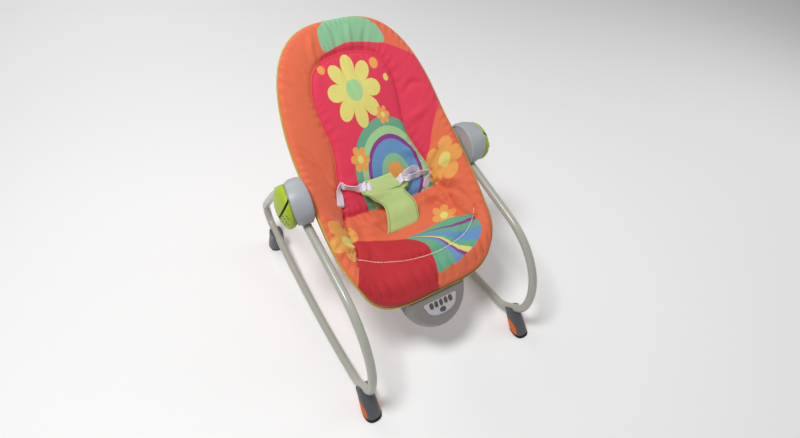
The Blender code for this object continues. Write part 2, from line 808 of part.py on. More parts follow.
def neck_block(name, side, place, extra, seat):
    """The bridge between the saddle and the disc."""
    low = (side * (abs(place.x) + 0.004), -0.0105 - extra, -0.0170 - extra)
    high = (side * (DISC_X + 0.001), 0.0105 + extra, -0.0015 + extra)
    return piece(name, box_shape(low, high), None, seat, cutter=True)


def make_tilt_bracket(word, side, seat, tube_cutter):
    """Disc, neck and saddle in one: the seat tube rests in it and it turns in the hub."""
    disc = stepped_bar((side * DISC_X, 0.0, 0.0), (side, 0, 0),
                       [(0.0, DISC_R - 0.0008), (0.0008, DISC_R), (DISC_T, DISC_R)], HUB_SEGMENTS)
    bracket = piece(f"{word}_tilt_bracket", disc, hub_grey_plastic(), seat)
    place, along, out, normal = seat_mount_frame(side * SADDLE_X, 0.0)
    reach = SEAT_TUBE_R + CLEARANCE + SADDLE_WALL
    saddle = saddle_block(
        f"{word}_saddle", place, (along, out, normal), SADDLE_LENGTH, reach, -reach, 0.0020, seat
    )
    neck = neck_block(f"{word}_neck", side, place, 0.0, seat)
    bore = rod_shape((side * (DISC_X - DISC_T), 0.0, 0.0), (side * (DISC_X + 2 * DISC_T), 0.0, 0.0), BOLT_R + RUNNING_GAP)
    bore = piece(f"{word}_bracket_bore", bore, None, seat, cutter=True)
    hole = bracket_screw_bar(f"{word}_screw_hole", side, SCREW_R + CLEARANCE, seat)
    join(bracket, neck, saddle)
    cut(bracket, tube_cutter, bore, hole)
    return bracket


def bracket_screw_start(side):
    place, along, _, normal = seat_mount_frame(side * SADDLE_X, 0.0)
    return place + along * math.copysign(0.0160, along.y), normal


def bracket_screw_bar(name, side, radius, seat):
    place, normal = bracket_screw_start(side)
    shape = rod_shape(place - normal * 0.0200, place - normal * 0.0060, radius, segments=12)
    return piece(name, shape, None, seat, cutter=True)


def make_bracket_screw(word, side, seat):
    """The grub screw that clamps the seat tube in the saddle from below."""
    place, normal = bracket_screw_start(side)
    outer = SEAT_TUBE_R + CLEARANCE + SADDLE_WALL + CLEARANCE + 0.0016
    steps = [
        (0.0, SCREW_HEAD_R - 0.0006), (0.0006, SCREW_HEAD_R), (0.0016, SCREW_HEAD_R), (0.0016, SCREW_R),
        (outer - SEAT_TUBE_R - CLEARANCE, SCREW_R),
    ]
    return piece(f"{word}_bracket_screw", stepped_bar(place - normal * outer, normal, steps, 12), zinc_steel(), seat)


def make_seat_pad(seat):
    """The padded cover: a top and an underside meeting in a round rim, with a tunnel for the seat tube."""
    bm = bmesh.new()
    steps_x = [math.sin(math.pi / 2 * (2 * i / PAD_CELLS_X - 1)) for i in range(PAD_CELLS_X + 1)]
    steps_y = [math.sin(math.pi / 2 * (2 * i / PAD_CELLS_Y - 1)) for i in range(PAD_CELLS_Y + 1)]
    for facing in (1, -1):
        rows = [[bm.verts.new(pad_point(u, v, facing)) for u in steps_x] for v in steps_y]
        for lower, upper in zip(rows, rows[1:]):
            for i in range(PAD_CELLS_X):
                bm.faces.new((lower[i], lower[i + 1], upper[i + 1], upper[i])[::facing])
    bmesh.ops.remove_doubles(bm, verts=bm.verts[:], dist=1e-5)
    pad = piece("seat_pad", bm, orange_cloth(), seat)
    cut(pad, seat_tube_cutter("hem_tunnel", SEAT_TUBE_R + RUNNING_GAP, seat))
    reach = SEAT_TUBE_R + CLEARANCE + SADDLE_WALL + RUNNING_GAP
    for word, side in SIDES:
        place, *axes = seat_mount_frame(side * SADDLE_X, 0.0)
        notch = saddle_block(f"{word}_pad_notch", place, axes, SADDLE_LENGTH + 2 * RUNNING_GAP, reach, -0.030,
                             0.0020 + RUNNING_GAP, seat)
        neck = neck_block(f"{word}_neck_notch", side, place, RUNNING_GAP, seat)
        hook = hook_block(f"{word}_hook_notch", side, RUNNING_GAP, seat)
        cut(pad, notch, neck, hook)
    for name in ("crotch", "left_waist", "right_waist"):
        cut(pad, strap_slot(name, seat))
    return pad


def hook_place(side):
    """Where a hook of the soothing unit holds the seat tube's front."""
    place, _, _, _ = seat_mount_frame(side * HOOK_X, HEM_INSET - PAD_FRONT)
    return place


def hook_block(name, side, extra, seat):
    place = hook_place(side)
    reach = SEAT_TUBE_R + CLEARANCE + HOOK_WALL + extra
    low = (place.x - HOOK_HALF_X - extra, UNIT_SPLIT_Y + CLEARANCE - extra, UNIT_TOP_Z - 0.0040 - extra)
    high = (place.x + HOOK_HALF_X + extra, place.y + reach, place.z + 0.0020 + extra)
    return piece(name, box_shape(low, high), None, seat, cutter=True)


def foot_places():
    """Each foot's hinge place on the frame and the tube's heading there, in level coordinates about the hub."""
    points, marks = frame_centre_line()
    found = {}
    for word, i in (("front", marks[3]), ("rear", marks[6] - 1)):
        a, b = points[i], points[i + 1]
        pitch = math.radians(CHAIR_PITCH_DEG)
        heading = math.atan2(b[1] - a[1], b[0] - a[0]) + pitch
        y, z = (a[0] + b[0]) / 2, (a[1] + b[1]) / 2
        level = (y * math.cos(pitch) - z * math.sin(pitch), y * math.sin(pitch) + z * math.cos(pitch))
        found[word] = (*level, heading)
    return found


def foot_rings(side, y, z, lean, low, high, shrink=0.0):
    """Level rings of a foot, from low to high, round a line that leans forward and outboard on its way down."""
    rings = []
    count = max(2, round((high - low) / 0.016) + 1)
    for i in range(count):
        level = low + (high - low) * i / (count - 1)
        down = (z - level) / (z + HUB_HEIGHT)
        wide = smooth_step(down)
        half_x = FOOT_NECK_X + (FOOT_HALF_X - FOOT_NECK_X) * wide - shrink
        half_y = FOOT_NECK_Y + (FOOT_HALF_Y - FOOT_NECK_Y) * wide - shrink
        ring = rounded_ring(half_x, half_y, y - lean * down, level, FOOT_POWER, FOOT_SIDES)
        shift = side * (FRAME_X + FOOT_SPLAY * max(down, 0.0))
        rings.append([(px + shift, py, pz) for px, py, pz in ring])
    return rings


def make_foot(word, side, end, carrier):
    """A turnable foot: a trough clipped on the frame tube, with a coloured tread and a black sole."""
    y, z, heading = foot_places()[end]
    lean = FRONT_FOOT_LEAN if end == "front" else REAR_FOOT_LEAN
    name = f"{word}_{end}_foot"
    way = Vector((0.0, math.cos(heading), math.sin(heading)))
    inward = Vector((0.0, -math.sin(heading), math.cos(heading)))
    hinge = Vector((side * FRAME_X, y, z))
    low = SOLE_T + CLEARANCE - HUB_HEIGHT
    top = z + (0.034 if end == "front" else 0.012)
    body = piece(name, lofted_shape(foot_rings(side, y, z, lean, low, top)), dark_grey_plastic(), carrier)
    bore = rod_shape(hinge - way * 0.06, hinge + way * 0.06, FRAME_TUBE_R + RUNNING_GAP, segments=24)
    bore = piece(f"{name}_bore", bore, None, carrier, cutter=True)
    cones = []
    for facing in (-1, 1):
        steps = [(0.0145, FRAME_TUBE_R + 0.0006), (0.065, FRAME_TUBE_R + 0.0230)]
        cone = stepped_bar(hinge, way * facing, steps, 24)
        cones.append(piece(f"{name}_relief_{facing + 1}", cone, None, carrier, cutter=True))
    place = hinge + inward * (FOOT_CUT_ABOVE_TUBE + 0.05)
    opening = turned_box(place, (0.08, 0.16, 0.10), ((1, 0, 0), way, inward))
    opening = piece(f"{name}_opening", opening, None, carrier, cutter=True)
    cut(body, tread_cutter(f"{name}_tread_seat", side, y - lean, TREAD_R + CLEARANCE, carrier), bore, opening, *cones)
    tread = piece(f"{name}_tread", lofted_shape(foot_rings(side, y, z, lean, low, top)), orange_rubber(), carrier)
    boolean(tread, tread_cutter(f"{name}_tread_edge", side, y - lean, TREAD_R, carrier), "INTERSECT")
    cut(tread, bore, *cones)
    sole = piece(f"{name}_sole", lofted_shape(sole_rings(side, y, z, lean)), black_rubber(), carrier)
    return body, tread, sole


def sole_rings(side, y, z, lean):
    floor = -HUB_HEIGHT
    inner = foot_rings(side, y, z, lean, floor, floor + SOLE_T, shrink=0.0012)
    outer = foot_rings(side, y, z, lean, floor + 0.0015, floor + SOLE_T)
    return [inner[0], outer[0], outer[-1]]


def tread_cutter(name, side, floor_y, radius, carrier):
    """A roller across the foot that sets off the tread's curved edge."""
    middle = Vector((side * FRAME_X, floor_y + TREAD_BACK, -TREAD_DOWN - HUB_HEIGHT))
    reach = Vector((0.05, 0.0, 0.0))
    return piece(name, rod_shape(middle - reach, middle + reach, radius, segments=48), None, carrier, cutter=True)


def make_feet(base):
    for word, side in SIDES:
        for end in ("front", "rear"):
            y, z, _ = foot_places()[end]
            carrier = empty_at(f"{word}_{end}_foot_hinge", (side * FRAME_X, y, z), base)
            make_foot(word, side, end, carrier)


UNIT_LEVELS = (
    (-0.2374, 0.0300, -0.2700, -0.2050),
    (-0.2330, 0.0450, -0.2810, -0.1985),
    (-0.2260, 0.0570, -0.2890, -0.1940),
    (-0.2145, 0.0668, -0.2950, -0.1915),
    (-0.2031, 0.0713, -0.2975, -0.1905),
    (-0.1917, 0.0736, -0.2986, -0.1900),
    (-0.1750, 0.0750, -0.2992, -0.1900),
    (UNIT_TOP_Z, 0.0745, -0.2985, -0.1905),
)


def unit_rings(shrink):
    """Level rings of the soothing unit, or of the hollow inside it: round in front, squarer behind."""
    rings = []
    for i, (z, half_x, front, rear) in enumerate(UNIT_LEVELS):
        if i == 0:
            z += shrink
        if i == len(UNIT_LEVELS) - 1:
            z -= shrink
        before = rounded_ring(
            half_x - shrink, UNIT_WIDEST_Y - front - shrink, UNIT_WIDEST_Y, z, UNIT_FRONT_POWER, UNIT_SIDES
        )
        behind = rounded_ring(
            half_x - shrink, rear - UNIT_WIDEST_Y - shrink, UNIT_WIDEST_Y, z, UNIT_REAR_POWER, UNIT_SIDES
        )
        rings.append([a if a[1] < UNIT_WIDEST_Y else b for a, b in zip(before, behind)])
    return rings


def face_axes():
    """The slanting face of the unit: across, down the face, and out of it."""
    tilt = math.radians(FACE_TILT_DEG)
    down = Vector((0.0, -math.cos(tilt), -math.sin(tilt)))
    out = Vector((0.0, -math.sin(tilt), math.cos(tilt)))
    return Vector((1.0, 0.0, 0.0)), down, out


def on_face(x, s, depth=0.0):
    across, down, out = face_axes()
    return Vector((0.0, FACE_Y, FACE_Z)) + across * x + down * s + out * depth


def face_block(name, depth, seat):
    """Everything in front of the slanting face, from a depth outward."""
    across, down, out = face_axes()
    shape = turned_box(on_face(0, 0, depth + 0.05), (0.3, 0.3, 0.10), (across, down, out))
    return piece(name, shape, None, seat, cutter=True)


def unit_half(name, keep_front, seat):
    """One half of the unit's shell, cut from the same hollow form."""
    shell = piece(name, lofted_shape(unit_rings(0.0)), unit_grey_plastic(), seat)
    hollow = piece(f"{name}_hollow", lofted_shape(unit_rings(UNIT_WALL)), None, seat, cutter=True)
    cut(hollow, face_block(f"{name}_face_inside", -UNIT_WALL, seat))
    gap = CLEARANCE / 2
    if keep_front:
        away = box_shape((-0.2, UNIT_SPLIT_Y - gap, -0.4), (0.2, 0.0, 0.0))
    else:
        away = box_shape((-0.2, UNIT_SPLIT_Y + gap, -0.4), (0.2, -0.5, 0.0))
    cut(shell, hollow, face_block(f"{name}_face_outside", 0.0, seat), piece(f"{name}_away", away, None, seat, True))
    return shell


def button_bar(name, x, s, half_x, half_s, low, high, carrier, material=None, cutter=True):
    """An oval pin square to the face."""
    across, down, _ = face_axes()
    rings = []
    levels = [(low, 0.0), (high - 0.0008, 0.0), (high, 0.0008)] if not cutter else [(low, 0.0), (high, 0.0)]
    for depth, shrink in levels:
        ring = []
        for i in range(16):
            angle = 2 * math.pi * i / 16
            c, q = math.cos(angle), math.sin(angle)
            reach = (abs(c) ** 2.6 + abs(q) ** 2.6) ** (-1 / 2.6)
            ring.append(
                on_face(x, s, depth) + across * (half_x - shrink) * c * reach + down * (half_s - shrink) * q * reach
            )
        rings.append(ring)
    return piece(name, lofted_shape(rings), material, carrier, cutter=cutter)


def button_table():
    """Name, place and size of each button on the face."""
    names = ("button_volume_down", "button_sound", "button_timer", "button_vibration", "button_volume_up")
    table = []
    for i, name in enumerate(names):
        half_x = BUTTON_HALF_X + (0.0006 if i in (0, 4) else 0.0)
        table.append((name, (i - 2) * BUTTON_PITCH, BUTTON_ROW_S, half_x, BUTTON_HALF_S))
    return table + [("button_power", 0.0, POWER_S, POWER_HALF_X, POWER_HALF_S)]


def make_buttons(seat, *pierced):
    top = CLEARANCE + PLATE_T + BUTTON_PROUD
    for name, x, s, half_x, half_s in button_table():
        carrier = empty_at(f"{name}_slide", on_face(x, s) - carried_place(seat), seat)
        button_bar(name, x, s, half_x, half_s, -0.0052, top, carrier, button_brown_rubber(), cutter=False)
        wide_x, wide_s = half_x + RUNNING_GAP, half_s + RUNNING_GAP
        well = button_bar(f"{name}_well", x, s, wide_x, wide_s, -0.0060, 0.010, seat)
        for part in pierced:
            cut(part, well)


def make_label_plate(seat):
    """The light fan-shaped plate round the buttons."""
    outline = [(-0.041, -0.0165), (0.041, -0.0165), (0.042, -0.0120), (0.036, 0.0040)]
    for i in range(9):
        angle = math.radians(20 + 140 * i / 8)
        outline.append((0.034 * math.cos(angle), 0.0040 + 0.0145 * math.sin(angle)))
    outline.append((-0.036, 0.0040))
    outline.append((-0.042, -0.0120))
    rings = [[on_face(x, s, depth) for x, s in outline] for depth in (CLEARANCE, CLEARANCE + PLATE_T)]
    return piece("label_plate", lofted_shape(rings), plate_grey_plastic(), seat)


def make_circuit_board(seat):
    across, down, out = face_axes()
    shape = turned_box(on_face(0, -0.001, -0.0083), (0.084, 0.0250, 0.0016), (across, down, out))
    return piece("circuit_board", shape, circuit_green(), seat)


def make_unit(seat, tube_cutter):
    """The soothing unit: two shell halves, face, battery, motor and board."""
    front = unit_half("unit_front_shell", True, seat)
    rear = unit_half("unit_rear_shell", False, seat)
    for word, side in SIDES:
        post = rod_shape(on_face(side * 0.036, 0, -0.0072), on_face(side * 0.036, 0, -0.0012), 0.0030, segments=12)
        join(front, piece(f"{word}_board_post", post, None, seat, cutter=True))
        join(rear, hook_block(f"{word}_hook", side, 0.0, seat))
    cut(rear, tube_cutter)
    make_unit_screws(seat, front, rear)
    plate = make_label_plate(seat)
    make_buttons(seat, front, plate)
    make_circuit_board(seat)
    make_battery(seat, rear)
    make_motor(seat, rear)


def make_unit_screws(seat, front, rear):
    """Two long screws from behind into bosses of the front half."""
    for word, side in SIDES:
        x, z = side * 0.0500, -0.1930
        front_y = unit_front_y(x + side * 0.0042) + 0.0006
        boss = rod_shape((x, front_y, z), (x, UNIT_SPLIT_Y - CLEARANCE, z), 0.0042, segments=16)
        join(front, piece(f"{word}_screw_boss", boss, None, seat, cutter=True))
        back = unit_back_y(x - side * 0.0052) - 0.0008
        hole = rod_shape((x, UNIT_SPLIT_Y - 0.0130, z), (x, back + 0.010, z), SCREW_R + CLEARANCE, segments=12)
        hole = piece(f"{word}_screw_bore", hole, None, seat, cutter=True)
        sink = rod_shape((x, back - 0.0022, z), (x, back + 0.010, z), SCREW_HEAD_R + CLEARANCE, segments=12)
        sleeve = rod_shape((x, UNIT_SPLIT_Y + CLEARANCE, z), (x, back, z), 0.0052, segments=16)
        join(rear, piece(f"{word}_screw_sleeve", sleeve, None, seat, cutter=True))
        cut(front, hole)
        cut(rear, hole, piece(f"{word}_screw_sink", sink, None, seat, cutter=True))
        head = back - 0.0022 + CLEARANCE
        length = head + 0.0016 - (UNIT_SPLIT_Y - 0.0120)
        steps = [(0.0, SCREW_HEAD_R - 0.0005), (0.0005, SCREW_HEAD_R), (0.0016, SCREW_HEAD_R), (0.0016, SCREW_R)]
        bar = stepped_bar((x, head + 0.0016, z), (0, -1, 0), steps + [(length, SCREW_R)], 12)
        piece(f"{word}_unit_screw", bar, zinc_steel(), seat)


def unit_back_y(x):
    """The unit's rear face at a width, at the height of its screws."""
    _, half_x, _, rear = UNIT_LEVELS[5]
    share = (1 - (abs(x) / half_x) ** UNIT_REAR_POWER) ** (1 / UNIT_REAR_POWER)
    return UNIT_WIDEST_Y + (rear - UNIT_WIDEST_Y) * share


def unit_front_y(x):
    """The unit's front face at a width, at the height of its screws."""
    _, half_x, front, _ = UNIT_LEVELS[5]
    share = (1 - (abs(x) / half_x) ** UNIT_FRONT_POWER) ** (1 / UNIT_FRONT_POWER)
    return UNIT_WIDEST_Y + (front - UNIT_WIDEST_Y) * share


CELL_X, CELL_Y, CELL_Z = -0.018, -0.2140, -0.2050
MOTOR_X = 0.0085
DOOR_HALF_X, DOOR_LOW, DOOR_HIGH, DOOR_T = 0.024, -0.2220, -0.1840, 0.0022


def cradle_rib(name, x, radius, seat, rear):
    """A rib on the rear shell's floor with a round seat for the cell or the motor."""
    shape = box_shape((x - 0.0012, CELL_Y - 0.0090, CELL_Z - 0.050), (x + 0.0012, CELL_Y + 0.0070, CELL_Z - 0.0040))
    rib = piece(name, shape, None, seat, cutter=True)
    within = piece(f"{name}_reach", lofted_shape(unit_rings(UNIT_WALL / 2)), None, seat, cutter=True)
    boolean(rib, within, "INTERSECT")
    join(rear, rib)
    ends = (Vector((x - 0.004, CELL_Y, CELL_Z)), Vector((x + 0.004, CELL_Y, CELL_Z)))
    cut(rear, piece(f"{name}_seat", rod_shape(*ends, radius + CLEARANCE, segments=32), None, seat, cutter=True))


def make_battery(seat, rear):
    """One cell on two ribs behind a hinged door with its latch screw."""
    half = CELL_LENGTH / 2
    steps = [(0.0, CELL_R - 0.001), (0.001, CELL_R), (CELL_LENGTH - 0.002, CELL_R)]
    steps += [(CELL_LENGTH - 0.002, 0.0030), (CELL_LENGTH, 0.0030)]
    cell = stepped_bar((CELL_X - half, CELL_Y, CELL_Z), (1, 0, 0), steps, 24)
    piece("battery_cell", cell, cell_wrap(), seat)
    for number, x in enumerate((CELL_X - 0.0190, CELL_X + 0.0180)):
        cradle_rib(f"cell_rib_{number}", x, CELL_R, seat, rear)
    gap = CLEARANCE
    outer = UNIT_LEVELS[5][3]
    hatch = box_shape((CELL_X - DOOR_HALF_X - gap, outer - 0.0070, DOOR_LOW - gap),
                      (CELL_X + DOOR_HALF_X + gap, outer + 0.01, DOOR_HIGH + gap))
    cut(rear, piece("battery_hatch", hatch, None, seat, cutter=True))
    carrier = empty_at("battery_door_hinge", Vector((CELL_X, outer, DOOR_LOW)) - carried_place(seat), seat)
    low = (CELL_X - DOOR_HALF_X, outer - DOOR_T - 0.0006, DOOR_LOW + 0.0001)
    high = (CELL_X + DOOR_HALF_X, outer - 0.0006, DOOR_HIGH)
    door = piece("battery_door", box_shape(low, high), unit_grey_plastic(), carrier)
    bore = rod_shape((CELL_X, outer - 0.01, DOOR_HIGH - 0.006), (CELL_X, outer + 0.01, DOOR_HIGH - 0.006),
                     SCREW_R + CLEARANCE, segments=12)
    cut(door, piece("door_screw_bore", bore, None, carrier, cutter=True))
    steps = [(0.0, SCREW_HEAD_R - 0.0005), (0.0005, SCREW_HEAD_R), (0.0014, SCREW_HEAD_R), (0.0014, SCREW_R)]
    bar = stepped_bar((CELL_X, outer - 0.0006 + CLEARANCE + 0.0014, DOOR_HIGH - 0.006), (0, -1, 0),
                      steps + [(0.0048, SCREW_R)], 12)
    piece("battery_door_screw", bar, zinc_steel(), carrier)


def make_motor(seat, rear):
    """The vibration motor on its rib, with the half-round weight on its shaft."""
    steps = [(0.0, MOTOR_R - 0.0008), (0.0008, MOTOR_R), (MOTOR_LENGTH, MOTOR_R), (MOTOR_LENGTH, 0.0010)]
    steps.append((MOTOR_LENGTH + 0.0075, 0.0010))
    motor = stepped_bar((MOTOR_X, CELL_Y, CELL_Z), (1, 0, 0), steps, 24)
    piece("vibration_motor", motor, zinc_steel(), seat)
    for number, x in enumerate((MOTOR_X + 0.006, MOTOR_X + 0.019)):
        cradle_rib(f"motor_rib_{number}", x, MOTOR_R, seat, rear)
    start = MOTOR_X + MOTOR_LENGTH + 0.0010
    carrier = empty_at("motor_shaft_axis", Vector((start, CELL_Y, CELL_Z)) - carried_place(seat), seat)
    weight = rod_shape((start, CELL_Y, CELL_Z), (start + 0.0055, CELL_Y, CELL_Z), 0.0085, segments=24)
    weight = piece("motor_weight", weight, zinc_steel(), carrier)
    half = box_shape((start - 0.01, CELL_Y - 0.02, CELL_Z + 0.0026), (start + 0.02, CELL_Y + 0.02, CELL_Z + 0.02))
    shaft = rod_shape((start - 0.01, CELL_Y, CELL_Z), (start + 0.02, CELL_Y, CELL_Z), 0.0010 + CLEARANCE, segments=16)
    cut(weight, piece("weight_half", half, None, carrier, True), piece("weight_bore", shaft, None, carrier, True))


WEB_LAY = (0.0, 0.66, 0.75)
STRAPS = {
    "crotch": ((0.0004, -0.0860), (1.0, 0.0, 0.0), 0.0820, CROTCH_T),
    "left_waist": ((-0.1074, 0.0247), WEB_LAY, 0.0210, WEB_T),
    "right_waist": ((0.1120, -0.0060), WEB_LAY, 0.0210, WEB_T),
}


WAIST_PATHS = {
    "left": ((-0.1000, 0.0220, 0.0115), (-0.0920, 0.0190, 0.0085), (-0.0800, 0.0160, 0.0105), (-0.0700, 0.0130, 0.0130)),
    "right": ((0.1050, -0.0040, 0.0095), (0.0960, -0.0020, 0.0115), (0.0840, 0.0000, 0.0120), (0.0720, 0.0000, 0.0130)),
}


def pad_top_place(x, y):
    """The pad's top surface over a plan place, found along the middle layer's normal."""
    return Vector((x, y, seat_middle_z(x, y))) + seat_normal(x, y) * (PAD_HALF_THICK + pad_rise(x, y))


def strap_root(name):
    """Where a strap leaves the pad, its direction there and its width's direction."""
    (x, y), lay, width, thick = STRAPS[name]
    normal = seat_normal(x, y)
    across = Vector(lay)
    across = (across - normal * across.dot(normal)).normalized()
    return pad_top_place(x, y), normal, across, width, thick


def strap_slot(name, seat):
    """The pocket in the pad that a strap's end is sewn into."""
    place, normal, across, width, thick = strap_root(name)
    size = (width + 6 * CLEARANCE, thick + 8 * CLEARANCE, 0.020)
    return piece(f"{name}_slot", turned_box(place, size, (across, normal.cross(across), normal)), None, seat, True)


CROTCH_PATH = (
    (0.0070, -0.0770, -0.0910), (0.0105, -0.0640, -0.0770), (0.0100, -0.0470, -0.0670), (0.0040, -0.0330, -0.0560),
    (-0.0020, -0.0225, -0.0475), (-0.0030, -0.0205, -0.0460), (-0.0075, -0.0110, -0.0385), (-0.0090, -0.0090, -0.0370),
    (-0.0180, 0.0080, -0.0252),
)
CROTCH_WIDTHS = (0.081, 0.079, 0.072, 0.066, 0.064, 0.103, 0.105, 0.064, 0.060)


def make_crotch_strap(seat):
    """The strap between the legs, with a cross piece for the waist webbing at its top."""
    root, normal, across, width, _ = strap_root("crotch")
    path = [root - normal * 0.0090, root + normal * 0.0030, root + normal * 0.0085]
    path += [Vector(place) for place in CROTCH_PATH]
    widths = [width] * 3 + list(CROTCH_WIDTHS)
    shape = ribbon_shape(path, [across] * len(path), widths, CROTCH_T)
    return piece("crotch_strap", shape, green_cloth(), seat)


def make_waist_strap(word, side, seat):
    """Waist webbing that comes out of the pad beside the child and lies over it towards the strap between the legs."""
    root, normal, across, _, _ = strap_root(f"{word}_waist")
    path = [root - normal * 0.0090, root + normal * 0.0020, root + normal * 0.0045]
    towards = WAIST_PATHS[word]
    for x, y, rise in towards:
        path.append(pad_top_place(x, y) + seat_normal(x, y) * rise)
    shape = ribbon_shape(path, [across] * len(path), [WEB_WIDTH] * len(path), WEB_T)
    return piece(f"{word}_waist_strap", shape, white_webbing(), seat)


clear_scene()
floor_side = empty_at("level_at_hub_height", (0.0, HUB_OFFSET_Y, HUB_HEIGHT))
origin = empty_at("hub_axis_middle", (0.0, HUB_OFFSET_Y, HUB_HEIGHT))
origin.rotation_euler.x = math.radians(CHAIR_PITCH_DEG)
seat_axis = empty_at("seat_tilt_axis", (0.0, 0.0, 0.0), origin)
seat_cutter = seat_tube_cutter("seat_tube_clearance", SEAT_TUBE_R + CLEARANCE, seat_axis)
for word, side in SIDES:
    frame = make_side_frame(word, side, origin)
    front_hole, riser_hole = frame_end_cutters(word, side, origin)
    make_hub_shell(word, side, origin, front_hole)
    make_cover(word, side, origin, riser_hole)
    thumb_axis = empty_at(f"{word}_thumb_slide", (side * HUB_SPLIT_X, 0.0, 0.0), origin)
    make_thumb_pad(word, side, thumb_axis)
    make_pivot_bolt(word, side, origin)
    make_lug_rivet(word, side, origin)
    cut(frame, rivet_cutter(f"{word}_frame", side, origin))
    make_tilt_bracket(word, side, seat_axis, seat_cutter)
    make_bracket_screw(word, side, seat_axis)
    make_waist_strap(word, side, seat_axis)
make_seat_tube(seat_axis)
make_seat_pad(seat_axis)
make_crotch_strap(seat_axis)
make_feet(floor_side)
make_unit(seat_axis, seat_cutter)
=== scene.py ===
import json
import math

import bmesh
import bpy
import numpy as np
from mathutils import Matrix, Vector
from mathutils.bvhtree import BVHTree


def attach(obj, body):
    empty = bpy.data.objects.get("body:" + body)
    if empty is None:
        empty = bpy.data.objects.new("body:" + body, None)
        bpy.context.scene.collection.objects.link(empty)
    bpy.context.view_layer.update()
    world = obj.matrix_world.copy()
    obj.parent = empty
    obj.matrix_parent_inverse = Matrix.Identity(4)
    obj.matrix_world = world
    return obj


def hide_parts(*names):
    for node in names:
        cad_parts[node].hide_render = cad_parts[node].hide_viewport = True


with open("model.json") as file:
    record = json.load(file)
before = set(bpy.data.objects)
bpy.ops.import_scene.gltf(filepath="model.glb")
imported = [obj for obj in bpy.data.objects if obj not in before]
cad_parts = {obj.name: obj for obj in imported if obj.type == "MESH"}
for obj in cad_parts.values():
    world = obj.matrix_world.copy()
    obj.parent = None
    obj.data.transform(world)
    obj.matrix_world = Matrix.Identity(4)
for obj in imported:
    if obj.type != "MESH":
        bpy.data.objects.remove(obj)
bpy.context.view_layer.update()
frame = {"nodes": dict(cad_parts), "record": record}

# The studio: the photo is a cut-out, seen from the front and above. The camera's place was solved from the
# chair's mirror pairs. A pale floor, three soft lights and a light all round stand for the studio.


def linked(name, data):
    """A new object at the origin, put into the scene."""
    made = bpy.data.objects.new(name, data)
    bpy.context.scene.collection.objects.link(made)
    return made


camera_data = bpy.data.cameras.new("camera")
camera_data.lens = 22.87
camera_data.sensor_width = 36.0
camera = linked("camera", camera_data)
camera.matrix_world = Matrix((
    (0.853108, 0.341542, -0.394405, -0.452000),
    (-0.517560, 0.649427, -0.557114, -0.662546),
    (0.065860, 0.679406, 0.730800, 1.105120),
    (0.0, 0.0, 0.0, 1.0),
))
bpy.context.scene.camera = camera


def soft_light(name, place, size, power):
    """A round lamp that looks at the chair's foot."""
    data = bpy.data.lights.new(name, "AREA")
    data.shape = "DISK"
    data.size = size
    data.energy = power
    lamp = linked(name, data)
    lamp.location = place
    lamp.rotation_euler = (-Vector(place)).to_track_quat("-Z", "Y").to_euler()


soft_light("key_light", (-0.85, -0.15, 2.2), 0.6, 31.5)
soft_light("right_light", (2.0, -0.3, 1.4), 1.4, 8.0)
soft_light("back_light", (-0.4, 2.4, 1.8), 1.6, 16.0)
world = bpy.data.worlds.new("studio")
world.use_nodes = True
all_round = world.node_tree.nodes["Background"].inputs
all_round["Color"].default_value = (1.0, 1.0, 1.0, 1.0)
all_round["Strength"].default_value = 0.31
bpy.context.scene.world = world
bpy.context.scene.view_settings.view_transform = "Standard"

FLOOR_SIZE, FLOOR_DROP = 14.0, 0.0006
bpy.ops.object.select_all(action="DESELECT")
bpy.ops.mesh.primitive_plane_add(size=FLOOR_SIZE, location=(0.0, 0.0, -FLOOR_DROP))
floor = bpy.context.object
floor.name = "studio_floor"


class Wire:
    """One output of a material's nodes. Arithmetic on it adds the Math nodes for it."""

    def __init__(self, tree, socket):
        self.tree = tree
        self.socket = socket

    def add(self, kind, settings=None, inputs=None, out=0):
        """A new node with its settings, then its inputs' values or links. Gives one of its outputs."""
        node = self.tree.nodes.new(kind)
        for name, value in (settings or {}).items():
            setattr(node, name, value)
        for name, value in (inputs or {}).items():
            if isinstance(value, Wire):
                self.tree.links.new(value.socket, node.inputs[name])
            else:
                node.inputs[name].default_value = value
        return Wire(self.tree, node.outputs[out])

    def maths(self, operation, *values):
        return self.add("ShaderNodeMath", {"operation": operation}, dict(enumerate(values)))

    def __add__(self, other):
        return self.maths("ADD", self, other)

    __radd__ = __add__

    def __sub__(self, other):
        return self.maths("SUBTRACT", self, other)

    def __rsub__(self, other):
        return self.maths("SUBTRACT", other, self)

    def __mul__(self, other):
        return self.maths("MULTIPLY", self, other)

    __rmul__ = __mul__

    def __truediv__(self, other):
        return self.maths("DIVIDE", self, other)

    def __neg__(self):
        return self.maths("MULTIPLY", self, -1.0)

    def size(self):
        return self.maths("ABSOLUTE", self)

    def root(self):
        return self.maths("SQRT", self)

    def sine(self):
        return self.maths("SINE", self)

    def least(self, other):
        return self.maths("MINIMUM", self, other)

    def most(self, other):
        return self.maths("MAXIMUM", self, other)

    def above(self, level, soft):
        """A mask that is 1 where the value is above a level, with a soft edge."""
        reach = {"Value": self, "From Min": level - soft, "From Max": level + soft}
        return self.add("ShaderNodeMapRange", {"interpolation_type": "SMOOTHSTEP"}, reach)

    def parts(self):
        return [self.add("ShaderNodeSeparateXYZ", {}, {0: self}, k) for k in range(3)]

    def noise(self, scale, detail=3.0, rough=0.55):
        values = {"Vector": self, "Scale": scale, "Detail": detail, "Roughness": rough}
        return self.add("ShaderNodeTexNoise", {}, values)

    def stretched(self, scale, turn):
        return self.add("ShaderNodeMapping", {}, {"Vector": self, "Scale": scale, "Rotation": turn})

    def stored(self, name):
        """The three numbers that the piece's mesh keeps under a name."""
        return self.add("ShaderNodeAttribute", {"attribute_name": name}, {}, 1).parts()


